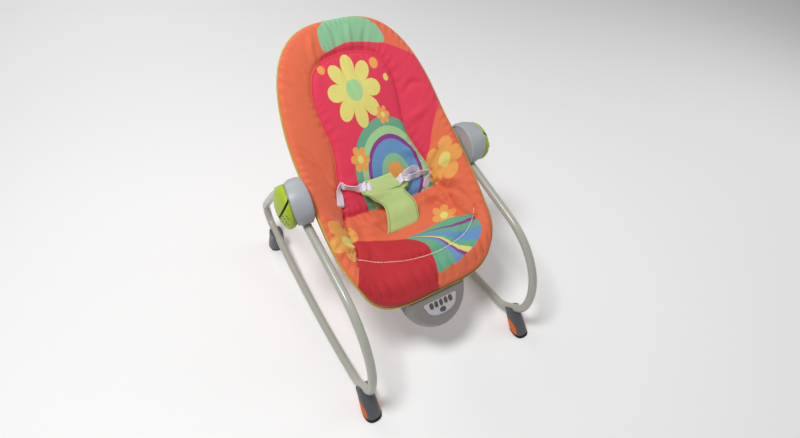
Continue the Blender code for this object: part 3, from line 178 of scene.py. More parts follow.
def colour(red, green, blue):
    """A paint chart's 0 to 255 numbers as the linear colour that a shader takes."""
    found = []
    for level in (red, green, blue):
        level /= 255.0
        found.append(level / 12.92 if level <= 0.04045 else ((level + 0.055) / 1.055) ** 2.4)
    return (*found, 1.0)


def blended(mask, under, over):
    """Two colours, mixed by a mask: under where it is 0, over where it is 1."""
    wire = mask if isinstance(mask, Wire) else under
    return wire.add("ShaderNodeMix", {"data_type": "RGBA"}, {0: mask, 6: under, 7: over}, 2)


def bumped(height, strength, depth):
    """A height turned into a normal."""
    values = {"Height": height, "Strength": strength, "Distance": depth}
    return height.add("ShaderNodeBump", {}, values)


class Finish:
    """A material, its shader's sockets and the piece's own coordinates."""

    def __init__(self, name, **constants):
        self.material = bpy.data.materials.new(name)
        self.material.use_nodes = True
        tree = self.material.node_tree
        self.shader = tree.nodes["Principled BSDF"]
        place = tree.nodes.new("ShaderNodeTexCoord")
        self.place = Wire(tree, place.outputs["Object"])
        for socket, value in constants.items():
            self.shader.inputs[socket.replace("_", " ")].default_value = value

    def feed(self, socket, value):
        if isinstance(value, Wire):
            value.tree.links.new(value.socket, self.shader.inputs[socket])
        else:
            self.shader.inputs[socket].default_value = value

    def put_on(self, piece):
        piece.data.materials.clear()
        piece.data.materials.append(self.material)


floor_paint = Finish("studio_paint", Roughness=0.9)
floor_paint.feed("Base Color", colour(246, 246, 246))
floor_paint.put_on(floor)

# The side frames: each is one length of 19 mm steel tube, bent into a loop of top run, toe, rocking rail,
# heel and riser. It is powder coated in a warm light grey, with a satin sheen, and its ends sit in the hub.

PITCH = math.radians(5.9)
HUB = Vector((0.0, 0.0389, 0.3645))
hub_to_world = Matrix.Translation(HUB) @ Matrix.Rotation(PITCH, 4, "X")
TUBE_R = 0.0095
TUBE_X, RISER_X = 0.2095, 0.2225
TUBE_START, START_HEADING = (-0.0155, -0.0322), 187.1
STRAIGHT_STEP, BEND_STEP = 0.02, 4.0
# Each run of the tube: the turn in degrees and the bend's radius, or no turn and the straight's length.
TUBE_BENDS = (
    (0.0, 0.1845), (88.5, 0.164), (34.0, 0.060), (0.0, 0.0415),
    (37.4, 0.060), (25.8, 1.05), (110.1, 0.0417), (math.degrees(0.2744 / 3.2), 3.2),
)


def tube_line():
    """The tube's middle line as (y, z) from the hub, with the place where the riser starts."""
    (y, z), heading = TUBE_START, START_HEADING
    points, riser = [(y, z)], 0
    for turn, size in TUBE_BENDS:
        riser = len(points) - 1
        length = math.radians(turn) * size if turn else size
        steps = max(1, math.ceil(max(turn / BEND_STEP, length / STRAIGHT_STEP)))
        chord = 2 * size * math.sin(math.radians(turn) / steps / 2) if turn else length / steps
        for _ in range(steps):
            middle = math.radians(heading + turn / steps / 2)
            y, z = y + chord * math.cos(middle), z + chord * math.sin(middle)
            heading += turn / steps
            points.append((y, z))
    return points, riser


def alone(piece):
    """Selects one object and nothing else, because an operator acts on all that is selected."""
    bpy.ops.object.select_all(action="DESELECT")
    piece.select_set(True)
    bpy.context.view_layer.objects.active = piece


def settled(piece, finish, body, slot, *solids):
    """Gives a piece its finish, its body and the solids that it stands for. Its material slot is not used."""
    finish.put_on(piece)
    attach(piece, body)
    if solids:
        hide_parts(*solids)


def swept(name, points, radius, closed=False, sides=5):
    """A round tube along a line of points: a bevelled curve, turned into a mesh."""
    curve = bpy.data.curves.new(name, "CURVE")
    curve.dimensions = "3D"
    curve.bevel_depth = radius
    curve.bevel_resolution = sides
    curve.use_fill_caps = not closed
    spline = curve.splines.new("POLY")
    spline.points.add(len(points) - 1)
    for knot, point in zip(spline.points, points):
        knot.co = (*point, 1.0)
    spline.use_cyclic_u = closed
    spline.use_smooth = True
    alone(linked(name, curve))
    bpy.ops.object.convert(target="MESH")
    return bpy.context.object


tube_paint = Finish("satin_tube_paint", Roughness=0.3, Coat_Weight=0.35, Coat_Roughness=0.2)
mottle = tube_paint.place.noise(6.0)
peel = tube_paint.place.noise(420.0, 2.0)
tube_paint.feed("Base Color", blended(mottle, colour(163, 163, 152), colour(176, 176, 166)))
tube_paint.feed("Roughness", 0.27 + mottle * 0.12)
tube_paint.feed("Normal", bumped(peel, 0.12, 0.0003))

line, riser_start = tube_line()
for word, side in (("left", -1), ("right", 1)):
    places = []
    for i, (y, z) in enumerate(line):
        share = min(max((i - riser_start) / (len(line) - 2 - riser_start), 0.0), 1.0)
        share = share * share * (3 - 2 * share)
        places.append(hub_to_world @ Vector((side * (TUBE_X + share * (RISER_X - TUBE_X)), y, z)))
    tube = swept(f"{word}_rocker_tube", places, TUBE_R)
    settled(tube, tube_paint, "frame", "satin_grey_paint", f"{word}_side_frame")
tube_paint.put_on(frame["nodes"]["seat_frame_tube"])

# The padded seat: one long cover of printed polyester over thick wadding, pulled over the seat's tube ring.
# It is sewn through round a head and back panel, across the fold at the hips and along the roll in front.
# The print is simple: arcs, spots, petals and stripes in the cover's colours.

PAD_HALF_WIDTH, PAD_REAR, PAD_FRONT, PAD_HALF_THICK = 0.188, 0.284, 0.2445, 0.012
REAR_POWER, FRONT_POWER, SAG_POWER = 2.9, 4.3, 2.5
RIM_LINE = (
    (-0.245, -0.138), (-0.225, -0.119), (-0.200, -0.087), (-0.130, -0.052),
    (0.000, 0.014), (0.080, 0.049), (0.150, 0.098), (0.240, 0.163), (0.284, 0.195),
)
MIDDLE_LINE = (
    (-0.245, -0.138), (-0.225, -0.122), (-0.185, -0.112), (-0.130, -0.123),
    (-0.083, -0.125), (-0.030, -0.104), (0.050, -0.033), (0.130, 0.041), (0.220, 0.130), (0.284, 0.195),
)
ACROSS, ALONG = 76, 108
SWELL_MOST, CLOTH_STEPS = 0.007, 20


def smooth_value(table, at):
    """A smooth curve through a table of (place, value) pairs, for many places at once."""
    places, values = np.array(table).T
    at = np.clip(at, places[0], places[-1])
    slopes = np.gradient(values, places)
    i = np.clip(np.searchsorted(places, at) - 1, 0, len(places) - 2)
    span = places[i + 1] - places[i]
    t = (at - places[i]) / span
    return (
        (2 * t**3 - 3 * t**2 + 1) * values[i] + (t**3 - 2 * t**2 + t) * span * slopes[i]
        + (3 * t**2 - 2 * t**3) * values[i + 1] + (t**3 - t**2) * span * slopes[i + 1]
    )


def smooth_step(value):
    """Held to 0 and 1, with a soft start and end between them."""
    value = np.clip(value, 0.0, 1.0)
    return value * value * (3 - 2 * value)


def outline_end(y):
    """The outline's reach and roundness behind the hubs or in front of them."""
    behind = y >= 0
    return np.where(behind, PAD_REAR, PAD_FRONT), np.where(behind, REAR_POWER, FRONT_POWER)


def outline_inset(x, y):
    """Distance of plan places from the seat's outline, inwards."""
    length, power = outline_end(y)
    a, b = np.abs(x) / PAD_HALF_WIDTH, np.abs(y) / length
    share = np.maximum((a**power + b**power) ** (1 / power), 1e-5)
    slope = np.hypot(a ** (power - 1) / PAD_HALF_WIDTH, b ** (power - 1) / length) * share ** (1 - power)
    return (1 - share) / np.maximum(slope, 1e-6)


def layer_height(x, y):
    """Height of the layer halfway through the cover."""
    length, power = outline_end(y)
    width = PAD_HALF_WIDTH * np.maximum(1 - np.minimum(np.abs(y) / length, 1.0) ** power, 0.0) ** (1 / power)
    centre, rim = smooth_value(MIDDLE_LINE, y), smooth_value(RIM_LINE, y)
    return centre + (rim - centre) * np.minimum(np.abs(x) / np.maximum(width, 1e-4), 1.15) ** SAG_POWER


def layer_normal(x, y):
    """The way out of that layer's upper side."""
    step = 0.001
    along_x = (layer_height(x + step, y) - layer_height(x - step, y)) / (2 * step)
    along_y = (layer_height(x, y + step) - layer_height(x, y - step)) / (2 * step)
    normal = np.stack([-along_x, -along_y, np.ones_like(x)], axis=-1)
    return normal / np.linalg.norm(normal, axis=-1)[:, None]


def surface_rise(x, y):
    """The middle panel's crown and the roll along the front, above the plain thickness."""
    panel = smooth_step((0.105 - np.abs(x)) / 0.03) * smooth_step((0.225 - y) / 0.03)
    roll = np.exp(-(((y + 0.205) / 0.016) ** 2)) * smooth_step((0.15 - np.abs(x)) / 0.05)
    return 0.005 * panel + 0.006 * roll


def cover_points(u, v, facing):
    """Points of the cover's top (facing 1) or underside (-1), from places in a square."""
    disc_x, disc_y = u * np.sqrt(1 - v * v / 2), v * np.sqrt(1 - u * u / 2)
    length, power = outline_end(disc_y)
    radius = np.maximum(np.hypot(disc_x, disc_y), 1e-9)
    c, s = np.abs(disc_x) / radius, np.abs(disc_y) / radius
    reach = np.maximum(c**power + s**power, 1e-9) ** (-1 / power)
    x, y = PAD_HALF_WIDTH * disc_x * reach, length * disc_y * reach
    inset = outline_inset(x, y)
    edge = np.clip(1 - inset / PAD_HALF_THICK, 0.0, 1.0)
    thick = PAD_HALF_THICK * np.sqrt(1 - edge * edge)
    if facing > 0:
        thick = thick + surface_rise(x, y) * smooth_step(inset / 0.03)
    normal = layer_normal(x, y)
    return np.stack([x, y, layer_height(x, y)], axis=-1) + normal * (thick * facing)[:, None]


def line_distance(points, polyline):
    """Distance of plan points from a polyline, and how far along it the nearest place is."""
    knots = np.array(polyline, float)
    best = np.full(len(points), 1e9)
    where = np.zeros(len(points))
    run = 0.0
    for start, end in zip(knots[:-1], knots[1:]):
        way = end - start
        length = max(np.hypot(*way), 1e-9)
        share = np.clip(((points - start) @ way) / length**2, 0.0, 1.0)
        distance = np.linalg.norm(points - (start + share[:, None] * way), axis=1)
        nearer = distance < best
        best = np.where(nearer, distance, best)
        where = np.where(nearer, run + share * length, where)
        run += length
    return best, where


def metres(lengths):
    """Lengths in millimetres as metres."""
    return tuple(round(length / 1000, 7) for length in lengths)


def rounded_line(knots, closed=False, steps=8):
    """A smooth line through knots, with a few points between each two of them."""
    knots = [np.array(k, float) for k in knots]
    count = len(knots)
    found = []
    for i in range(count if closed else count - 1):
        around = [(i + k) % count if closed else min(max(i + k, 0), count - 1) for k in (-1, 0, 1, 2)]
        a, b, c, d = (knots[k] for k in around)
        for s in range(steps):
            t = s / steps
            found.append(0.5 * (
                2 * b + (c - a) * t + (2 * a - 5 * b + 4 * c - d) * t**2 + (3 * b - a - 3 * c + d) * t**3
            ))
    found.append(found[0] if closed else knots[-1])
    return found


def plan_line(knots, closed=False):
    """A smooth line through plan places in millimetres."""
    return rounded_line([metres(knot) for knot in knots], closed)


def inside_distance(points, outline):
    """Signed distance from a closed outline in the plan: above 0 inside it."""
    distance, _ = line_distance(points, outline)
    knots = np.array(outline, float)
    within = np.zeros(len(points), bool)
    for (ax, ay), (bx, by) in zip(knots[:-1], knots[1:]):
        crosses = (points[:, 1] < ay) != (points[:, 1] < by)
        if ay != by:
            at = ax + (points[:, 1] - ay) * (bx - ax) / (by - ay)
            within ^= crosses & (points[:, 0] < at)
    return np.where(within, distance, -distance)


# The seams' and folds' places are plan places from the hubs, in millimetres.
HALF_PANEL = (
    (116, -36), (115, -15), (111, 10), (99, 47), (91, 85), (95, 120), (99, 155), (94, 182), (79, 205),
    (50, 220),
)
WING_LINE = ((117, -36), (126, -62), (126, -90), (130, -120), (146, -152))
panel_seam = plan_line([(-x, y) for x, y in HALF_PANEL] + [(0, 225.5)] + list(HALF_PANEL[::-1]))
hip_seam = plan_line([(-118, -36), (-60, -31), (0, -30), (60, -33), (116, -36)])
wing_seams = [plan_line([(side * x, y) for x, y in WING_LINE]) for side in (-1, 1)]
roll_seam = plan_line([
    (-152, -120), (-132, -134), (-101, -147), (-70, -161), (-34, -172), (15, -180), (61, -180), (113, -170),
    (145, -150), (158, -132),
])
# Each seam's line, its depth and its half width.
SEAMS = [(panel_seam, 0.0060, 0.0046), (hip_seam, 0.0075, 0.0056), (roll_seam, 0.0042, 0.0034)]
SEAMS += [(seam, 0.0070, 0.0054) for seam in wing_seams]

# Each soft fold's line, its height (below 0 for a furrow) and its half width, in millimetres.
FOLDS = (
    (((82, -40), (98.5, -66), (113, -90), (138, -118)), -3.6, 5),
    (((103, -31), (126, -55), (146, -85), (156, -122)), -3.4, 4.2),
    (((115, -44), (126, -62), (140, -81), (150, -111)), 2.6, 4.2),
    (((118, -30), (140, -46), (164, -78)), 3, 4.8),
    (((120, -20), (145, -24), (170, -40)), -2.6, 5),
    (((-80, -41), (-54, -62), (-32, -86), (10, -96)), -2.6, 5),
    (((70, -60), (30, -78), (-10, -74)), -2, 5.6),
    (((114, -60), (90, -70), (66, -68)), -2.6, 6),
    (((105, -52), (80, -50), (50, -54)), 2.6, 6),
    (((112, 4), (140, 18), (160, 12)), 2.8, 6),
    (((100, 132), (135, 142), (162, 128)), -2.6, 4.5),
    (((98, 94), (130, 90), (160, 96)), 2.4, 6),
    (((-177, 80), (-155, 60), (-134, 38), (-121, 12)), -3, 4.2),
    (((-166, 90), (-147, 70), (-133, 48), (-122, 26)), -2.6, 4),
    (((-158, 72), (-140, 54), (-126, 30)), 2.4, 4.2),
    (((-124, -60), (-146, -60), (-170, -48)), 3, 5.5),
    (((-128, -100), (-150, -112), (-168, -104)), 3, 5.5),
    (((-105, -50), (-70, -58), (-30, -56)), 2.4, 6.5),
    (((-112, -74), (-70, -90), (-20, -94)), -2.2, 6.5),
    (((-100, -108), (-40, -122), (40, -128)), 1.8, 7),
    (((-60, 262), (-70, 236), (-66, 215)), 2.2, 5.5),
    (((-15, 270), (-10, 245), (-12, 222)), -2.4, 4.2),
    (((30, 268), (22, 246), (22, 222)), 2.2, 5),
    (((70, 255), (56, 236), (50, 214)), -2, 5),
    (((-20, 214), (-12, 180), (-2, 150)), -1.6, 4),
    (((4, 214), (14, 182), (34, 140)), -1.4, 4),
    (((60, 50), (85, 40), (108, 34)), 2.2, 4),
    (((64, 34), (90, 24), (110, 20)), -2, 4),
    (((-100, 30), (-80, 20), (-50, 22)), 1.8, 5),
)

mesh = bpy.data.meshes.new("padded_cover")
cover = linked("padded_cover", mesh)
steps_u = np.sin(np.pi / 2 * (2 * np.arange(ACROSS + 1) / ACROSS - 1))
steps_v = np.sin(np.pi / 2 * (2 * np.arange(ALONG + 1) / ALONG - 1))
grid_u, grid_v = (g.ravel() for g in np.meshgrid(steps_u, steps_v))
corners = np.vstack([cover_points(grid_u, grid_v, 1), cover_points(grid_u, grid_v, -1)])
quads = []
for layer, turn in ((0, 1), (1, -1)):
    first = layer * (ACROSS + 1) * (ALONG + 1)
    for j in range(ALONG):
        for i in range(ACROSS):
            a = first + j * (ACROSS + 1) + i
            quads.append((a, a + 1, a + ACROSS + 2, a + ACROSS + 1)[::turn])
turned, hub_place = np.array(hub_to_world)[:3, :3], np.array(hub_to_world.translation)
mesh.from_pydata((corners @ turned.T + hub_place).tolist(), [], quads)
shape = bmesh.new()
shape.from_mesh(mesh)
bmesh.ops.remove_doubles(shape, verts=shape.verts[:], dist=1e-5)
bmesh.ops.recalc_face_normals(shape, faces=shape.faces[:])
shape.to_mesh(mesh)
shape.free()


def vertex_rows(data, kind="co"):
    """The places or the normals of a mesh's vertices, one row each."""
    rows = np.zeros(len(data.vertices) * 3)
    data.vertices.foreach_get(kind, rows)
    return rows.reshape(-1, 3)


def from_hub(data):
    """The vertices' plan places from the hub, before the chair's pitch, and heights over the middle layer."""
    at = (vertex_rows(data) - hub_place) @ turned
    return at[:, :2], at[:, 2] - layer_height(at[:, 0], at[:, 1])


plan, above = from_hub(mesh)
held = np.maximum(smooth_step(1.0 - above / 0.006), smooth_step(1.6 - outline_inset(*plan.T) / 0.010))
for seam, _, width in SEAMS:
    distance, _ = line_distance(plan, seam)
    held = np.maximum(held, smooth_step(2.0 - distance / width))
group = cover.vertex_groups.new(name="sewn")
for i, weight in enumerate(held):
    group.add([i], float(weight), "REPLACE")
still = vertex_rows(mesh)
cloth = cover.modifiers.new("stuffing", "CLOTH")
fabric = cloth.settings
fabric.quality = 4
fabric.mass = 0.2
fabric.tension_stiffness = fabric.compression_stiffness = 12.0
fabric.bending_stiffness = 0.4
fabric.vertex_group_mass = "sewn"
fabric.use_pressure = True
fabric.uniform_pressure_force = 4.0
fabric.effector_weights.gravity = 0.0
cloth.collision_settings.use_collision = False
for step in range(1, CLOTH_STEPS + 1):
    bpy.context.scene.frame_set(step)
swollen = cover.evaluated_get(bpy.context.evaluated_depsgraph_get())
moved = vertex_rows(swollen.data) - still
far = np.maximum(np.linalg.norm(moved, axis=1), 1e-9)
moved *= (np.minimum(far, SWELL_MOST) / far)[:, None]
cover.modifiers.remove(cloth)
mesh.vertices.foreach_set("co", (still + moved).ravel())
cover.vertex_groups.clear()
bpy.context.scene.frame_set(1)

finer = cover.modifiers.new("finer", "SUBSURF")
finer.levels = finer.render_levels = 1
alone(cover)
bpy.ops.object.modifier_apply(modifier="finer")
mesh = cover.data

GATHER_HEIGHT, GATHER_PITCH = 0.0019, 0.013
PLEAT_HEIGHT, PLEAT_PITCH = 0.006, 0.026
PUCKER_HEIGHT, PUCKER_PITCH = 0.0016, 0.015
plan, above = from_hub(mesh)
inset = outline_inset(*plan.T)
top = smooth_step(above / 0.004) * smooth_step(inset / 0.012)
rise = np.zeros(len(plan))
for seam, depth, width in SEAMS:
    distance, run = line_distance(plan, seam)
    rise -= depth * np.exp(-((distance / width) ** 2))
    gather = np.sin(run * 2 * np.pi / GATHER_PITCH + 2.2 * np.sin(run * 61.0))
    gather *= np.sin(run * 23.0 + 1.0)
    beside = np.exp(-((distance / 0.015) ** 2)) * (1 - np.exp(-((distance / 0.004) ** 2)))
    rise += GATHER_HEIGHT * gather * beside
for fold, height, width in FOLDS:
    way = plan_line(fold)
    height, width = metres((height, width))
    distance, run = line_distance(plan, way)
    length = sum(np.hypot(*(b - a)) for a, b in zip(way[:-1], way[1:]))
    taper = np.sin(np.pi * np.clip(run / length, 0.04, 0.96))
    rise += 2.0 * height * taper * np.exp(-((distance / (1.15 * width)) ** 2))
front_drop = smooth_step((-0.186 - plan[:, 1]) / 0.030)
pleats = np.abs(np.sin(plan[:, 0] * np.pi / PLEAT_PITCH + 0.9 * np.sin(plan[:, 0] * 47.0)))
around = np.arctan2(plan[:, 1] / 0.26, plan[:, 0] / 0.188) * 0.23
puckers = np.sin(around * 2 * np.pi / PUCKER_PITCH + 1.9 * np.sin(around * 37.0))
puckers *= np.sin(around * 19.0 + 0.6)
rim_rise = PLEAT_HEIGHT * (np.sqrt(pleats) - 0.85) * front_drop
rim_rise += PUCKER_HEIGHT * puckers * np.exp(-(((inset - 0.009) / 0.009) ** 2)) * (1 - front_drop)
edge = smooth_step((above + 0.003) / 0.006) * smooth_step(inset / 0.004)
places = vertex_rows(mesh) + vertex_rows(mesh, "normal") * (rise * top + rim_rise * edge)[:, None]
mesh.vertices.foreach_set("co", places.ravel())
mesh.shade_smooth()

crimson_wing = plan_line([
    (-60, 218), (-40, 229), (9, 236), (56, 231), (97, 220), (140, 198), (175, 175), (205, 150), (205, 110),
    (180, 88), (161, 69), (141, 46), (117, 12), (100, 20), (60, 80), (0, 150), (-50, 200),
], closed=True)
panel_area = panel_seam + hip_seam[::-1] + [panel_seam[0]]
roll_area = plan_line([
    (-122, -90), (-60, -105), (-11, -124), (13, -143), (19, -171), (12, -200), (1, -242), (-10, -280),
    (-220, -280), (-172, -195), (-152, -160), (-134, -128),
], closed=True)
mint_area = plan_line([
    (-46, 254), (-34, 272), (10, 290), (60, 276), (92, 252), (99, 222), (56, 232), (9, 237), (-40, 230),
], closed=True)
stripe_area = plan_line([
    (-12, -124.7), (27, -120), (59, -118.6), (91, -119.6), (119, -126.8), (143, -138), (148.5, -159),
    (147, -181), (135, -195), (114, -208), (90, -215.1), (59, -223.3), (32, -224.4), (6, -225), (-20, -180),
], closed=True)


def keep(name, *values):
    """Stores up to three numbers for each vertex, which the print reads."""
    rows = np.zeros((len(plan), 3), np.float32)
    for k, value in enumerate(values):
        rows[:, k] = value
    mesh.attributes.new(name, "FLOAT_VECTOR", "POINT").data.foreach_set("vector", rows.ravel())


keep("plan", plan[:, 0], plan[:, 1], np.clip(above / 0.012, -1.0, 1.0))
keep("areas", *(inside_distance(plan, area) for area in (panel_area, crimson_wing, roll_area)))
keep("patches", *(inside_distance(plan, area) for area in (mint_area, stripe_area)))

ORANGE, DEEP_ORANGE, BACKING = colour(226, 108, 72), colour(208, 88, 58), colour(196, 98, 66)
CRIMSON, DEEP_CRIMSON = colour(222, 46, 84), colour(184, 20, 44)
MINT, LIGHT_MINT, TEAL = colour(120, 196, 152), colour(152, 212, 150), colour(72, 172, 140)
BLUE, PURPLE = colour(72, 150, 200), colour(122, 52, 146)
LEMON, PETAL = colour(222, 220, 120), colour(232, 165, 80)
# How soft the print's edges and the stripes' edges are, and the weave's waves in radians per metre.
EDGE, STRIPE_EDGE, THREAD_RATE = 0.0004, 0.003, 7400.0

print_cloth = Finish("printed_cover_cloth", Roughness=0.74, Sheen_Weight=0.10, Sheen_Roughness=0.45)
x, y, face = print_cloth.place.stored("plan")
panel, wing, roll = print_cloth.place.stored("areas")
mint, striped, _ = print_cloth.place.stored("patches")


def from_point(cx, cy):
    """Distance and direction of the print's places from a point."""
    across, along = x - cx, y - cy
    return (across * across + along * along).root(), across, along


def flower(base, cx, cy, reach, petals, turn, petal, heart):
    """A simple flower: a ring of rounded petals round a spot."""
    distance, across, along = from_point(cx, cy)
    angle = across.maths("ARCTAN2", along, across) * (petals / 2) + turn
    edge = reach * (0.50 + 0.50 * angle.maths("POWER", angle.maths("COSINE", angle).size(), 0.55))
    made = blended((edge - distance).above(0.0, EDGE), base, petal)
    return blended((reach * 0.30 - distance).above(0.0, EDGE), made, heart)


def ring(base, cx, cy, low, high, tint, within=None):
    """A band of colour between two distances from a point, within a mask if one is given."""
    distance, _, _ = from_point(cx, cy)
    mask = distance.above(low, EDGE) * (1 - distance.above(high, EDGE))
    return blended(mask * within if within is not None else mask, base, tint)


# The colour fields come first, then the arcs low on the back panel, the flowers, the fan and the roll's red.
inside_panel = panel.above(0.0, EDGE)
cloth_colour = blended(mint.above(0.0, EDGE), ORANGE, MINT)
cloth_colour = blended(wing.above(0.0, EDGE), cloth_colour, CRIMSON)
cloth_colour = blended(inside_panel, cloth_colour, CRIMSON)
for low, high, tint in (
    (0.080, 0.096, TEAL), (0.066, 0.080, LIGHT_MINT), (0.058, 0.066, PURPLE), (0.034, 0.058, BLUE),
    (0.020, 0.034, MINT), (-1.0, 0.020, PETAL),
):
    cloth_colour = ring(cloth_colour, 0.034, 0.012, low, high, tint, inside_panel)
cloth_colour = flower(cloth_colour, -0.004, 0.160, 0.062, 8, 0.2, LEMON, LIGHT_MINT)
for cx, cy, reach, tint in (
    (-0.062, 0.205, 0.008, PETAL), (0.060, 0.196, 0.010, PETAL), (0.078, 0.168, 0.006, LEMON),
):
    cloth_colour = ring(cloth_colour, cx, cy, -1.0, reach, tint)
for flower_row in (
    (0.146, -0.012, 0.041, 5, 0.4), (-0.145, -0.098, 0.046, 5, 0.9), (0.097, -0.108, 0.029, 6, 0.1),
    (-0.040, 0.052, 0.022, 6, 0.5), (0.044, 0.110, 0.016, 6, 0.0),
):
    cloth_colour = flower(cloth_colour, *flower_row, PETAL, LEMON)

# A fan of stripes lies on the roll. Each stripe's share of the fan's width is the same all along, while the
# fan itself opens from its point outwards.
reach, across, along = from_point(-0.020, -0.122)
angle = across.maths("ARCTAN2", -along, across) * (180 / math.pi)
widest = (33.0 + (reach - 0.042) * 690.0).least(88.0).most(20.0)
stripe = (angle + 3.0) / widest
stripe_colour = blended(stripe.above(0.13, STRIPE_EDGE), TEAL, PURPLE)
for level, tint in (
    (0.165, TEAL), (0.24, BLUE), (0.36, TEAL), (0.43, LEMON), (0.49, PURPLE), (0.535, BLUE), (0.64, TEAL),
):
    stripe_colour = blended(stripe.above(level, STRIPE_EDGE), stripe_colour, tint)
cloth_colour = blended(striped.above(0.0, EDGE), cloth_colour, stripe_colour)
cloth_colour = blended(roll.above(0.0, EDGE), cloth_colour, DEEP_CRIMSON)
shade_noise = print_cloth.place.noise(9.0, 4.0)
cloth_colour = blended(0.22 * (1 - shade_noise).most(0.0), cloth_colour, DEEP_ORANGE)
print_cloth.feed("Base Color", blended(1 - face.above(-0.10, 0.03), cloth_colour, BACKING))
threads = (x * THREAD_RATE).sine() * (y * THREAD_RATE).sine()
crumple = print_cloth.place.noise(34.0, 3.0, 0.6)
creases = print_cloth.place.stretched((55.0, 20.0, 30.0), (0.4, 0.2, 0.9)).noise(1.6, 4.0, 0.62)
print_cloth.feed("Normal", bumped(crumple * 0.0016 + creases * 0.0020 + threads * 0.00006, 0.55, 1.0))
print_cloth.feed("Roughness", 0.70 + 0.18 * crumple)
settled(cover, print_cloth, "seat", "orange_cloth", "seat_pad")

# The piping and top stitching: a mustard piping cord is sewn into the seam where the cover's top meets its
# underside. A row of lockstitches holds the roll in front, in pale thread, and the back panel, in red.

RIM_STEPS, PIPING_OUT, PIPING_LOW, PIPING_R = 240, 1.004, 0.0035, 0.0026


def circle(count):
    """The cosine and sine of even steps of a turn, once round."""
    angles = [2 * math.pi * k / count for k in range(count)]
    return [(math.cos(angle), math.sin(angle)) for angle in angles]


def squarish(c, s, power):
    """How far a rounded square reaches in the direction of a cosine and sine, for a half width of 1."""
    return (abs(c) ** power + abs(s) ** power) ** (-1 / power)


rim_knots = []
for c, s in circle(RIM_STEPS):
    length, power = (PAD_REAR, REAR_POWER) if s >= 0 else (PAD_FRONT, FRONT_POWER)
    reach = squarish(c, s, power)
    rim_knots.append((PAD_HALF_WIDTH * reach * c * PIPING_OUT, length * reach * s * PIPING_OUT))
rim_knots = np.array(rim_knots)
rim_heights = layer_height(*rim_knots.T) - PIPING_LOW
rim_places = [hub_to_world @ Vector((*knot, z)) for knot, z in zip(rim_knots, rim_heights)]
piping = swept("rim_piping", rim_places, PIPING_R, True, 4)
piping_cloth = Finish("piping_cloth", Roughness=0.75, Sheen_Weight=0.2)
patchy = piping_cloth.place.noise(60.0)
piping_cloth.feed("Base Color", blended(patchy, colour(160, 138, 40), colour(200, 178, 66)))
piping_cloth.feed("Normal", bumped(piping_cloth.place.noise(900.0, 2.0), 0.3, 0.0005))
settled(piping, piping_cloth, "seat", "orange_cloth")

RAY_HEIGHT = 0.30
cover_faces = [face.vertices for face in cover.data.polygons]
sewn_cover = BVHTree.FromPolygons([v.co for v in cover.data.vertices], cover_faces)


def cover_top(knots):
    """Where plan places lie on the sewn cover's top, and its normal there, or None beside the cover."""
    down = hub_to_world.to_3x3() @ Vector((0.0, 0.0, -1.0))
    return [sewn_cover.ray_cast(hub_to_world @ Vector((*knot, RAY_HEIGHT)), down)[:2] for knot in knots]


def skin(bands, sides, first=0):
    """The faces between the rings of a lofted shape: quads, band by band."""
    faces = []
    for band in range(bands):
        low, high = first + sides * band, first + sides * (band + 1)
        faces += [(low + k, low + (k + 1) % sides, high + (k + 1) % sides, high + k) for k in range(sides)]
    return faces


BEAD_SIDES = 6
BEAD_RINGS = ((-1.0, 0.25), (-0.6, 1.0), (0.6, 1.0), (1.0, 0.25))


def stitch_row(name, line, pitch, length, width, finish):
    """A row of stitches along a line on the cover: each a small rounded bead of thread."""
    knots = np.array(line)
    steps = np.concatenate([[0.0], np.cumsum(np.linalg.norm(np.diff(knots, axis=0), axis=1))])
    middles = np.arange(pitch, steps[-1] - pitch / 2, pitch)
    centre = np.stack([np.interp(middles, steps, knots[:, k]) for k in range(2)], axis=1)
    ahead = np.stack([np.interp(middles + length / 2, steps, knots[:, k]) for k in range(2)], axis=1)
    beads, faces = [], []
    for (place, normal), (front, _) in zip(cover_top(centre), cover_top(ahead)):
        if place is None or front is None:
            continue
        way = (front - place).normalized()
        side = normal.cross(way).normalized()
        first = len(beads)
        for share, thick in BEAD_RINGS:
            for c, s in circle(BEAD_SIDES):
                offset = side * (c * width * thick) + normal * (s * width * thick)
                beads.append(place + way * (share * length / 2) + offset)
        faces += skin(len(BEAD_RINGS) - 1, BEAD_SIDES, first)
        faces.append(tuple(range(first + BEAD_SIDES - 1, first - 1, -1)))
        faces.append(tuple(range(len(beads) - BEAD_SIDES, len(beads))))
    made = bpy.data.meshes.new(name)
    made.from_pydata(beads, [], faces)
    made.shade_smooth()
    settled(linked(name, made), finish, "seat", "orange_cloth")


def thread(name, roughness, dark, light):
    """Sewing thread, a little uneven in its colour."""
    made = Finish(name, Roughness=roughness)
    made.feed("Base Color", blended(made.place.noise(300.0), dark, light))
    return made


pale_thread = thread("pale_thread", 0.6, colour(232, 196, 196), colour(250, 236, 232))
red_thread = thread("red_thread", 0.6, colour(160, 30, 48), colour(190, 44, 66))
STITCH_PITCH = 0.0042
stitch_row("roll_stitches", roll_seam, STITCH_PITCH, 0.0036, 0.0011, pale_thread)
stitch_row("panel_stitches", panel_seam, STITCH_PITCH, 0.0034, 0.0008, red_thread)

# The harness: a pale green strap comes up between the legs, two layers of polyester with stitched edges, and
# ends in a cross piece with a flap. White webbing from each side is threaded through that piece.


def strap_ways(stations, k):
    """A strap's direction across and the way out of its face, at one station."""
    across = Vector(stations[k][3]).normalized()
    before, after = Vector(stations[max(k - 1, 0)][0]), Vector(stations[min(k + 1, len(stations) - 1)][0])
    return across, across.cross(after - before).normalized()


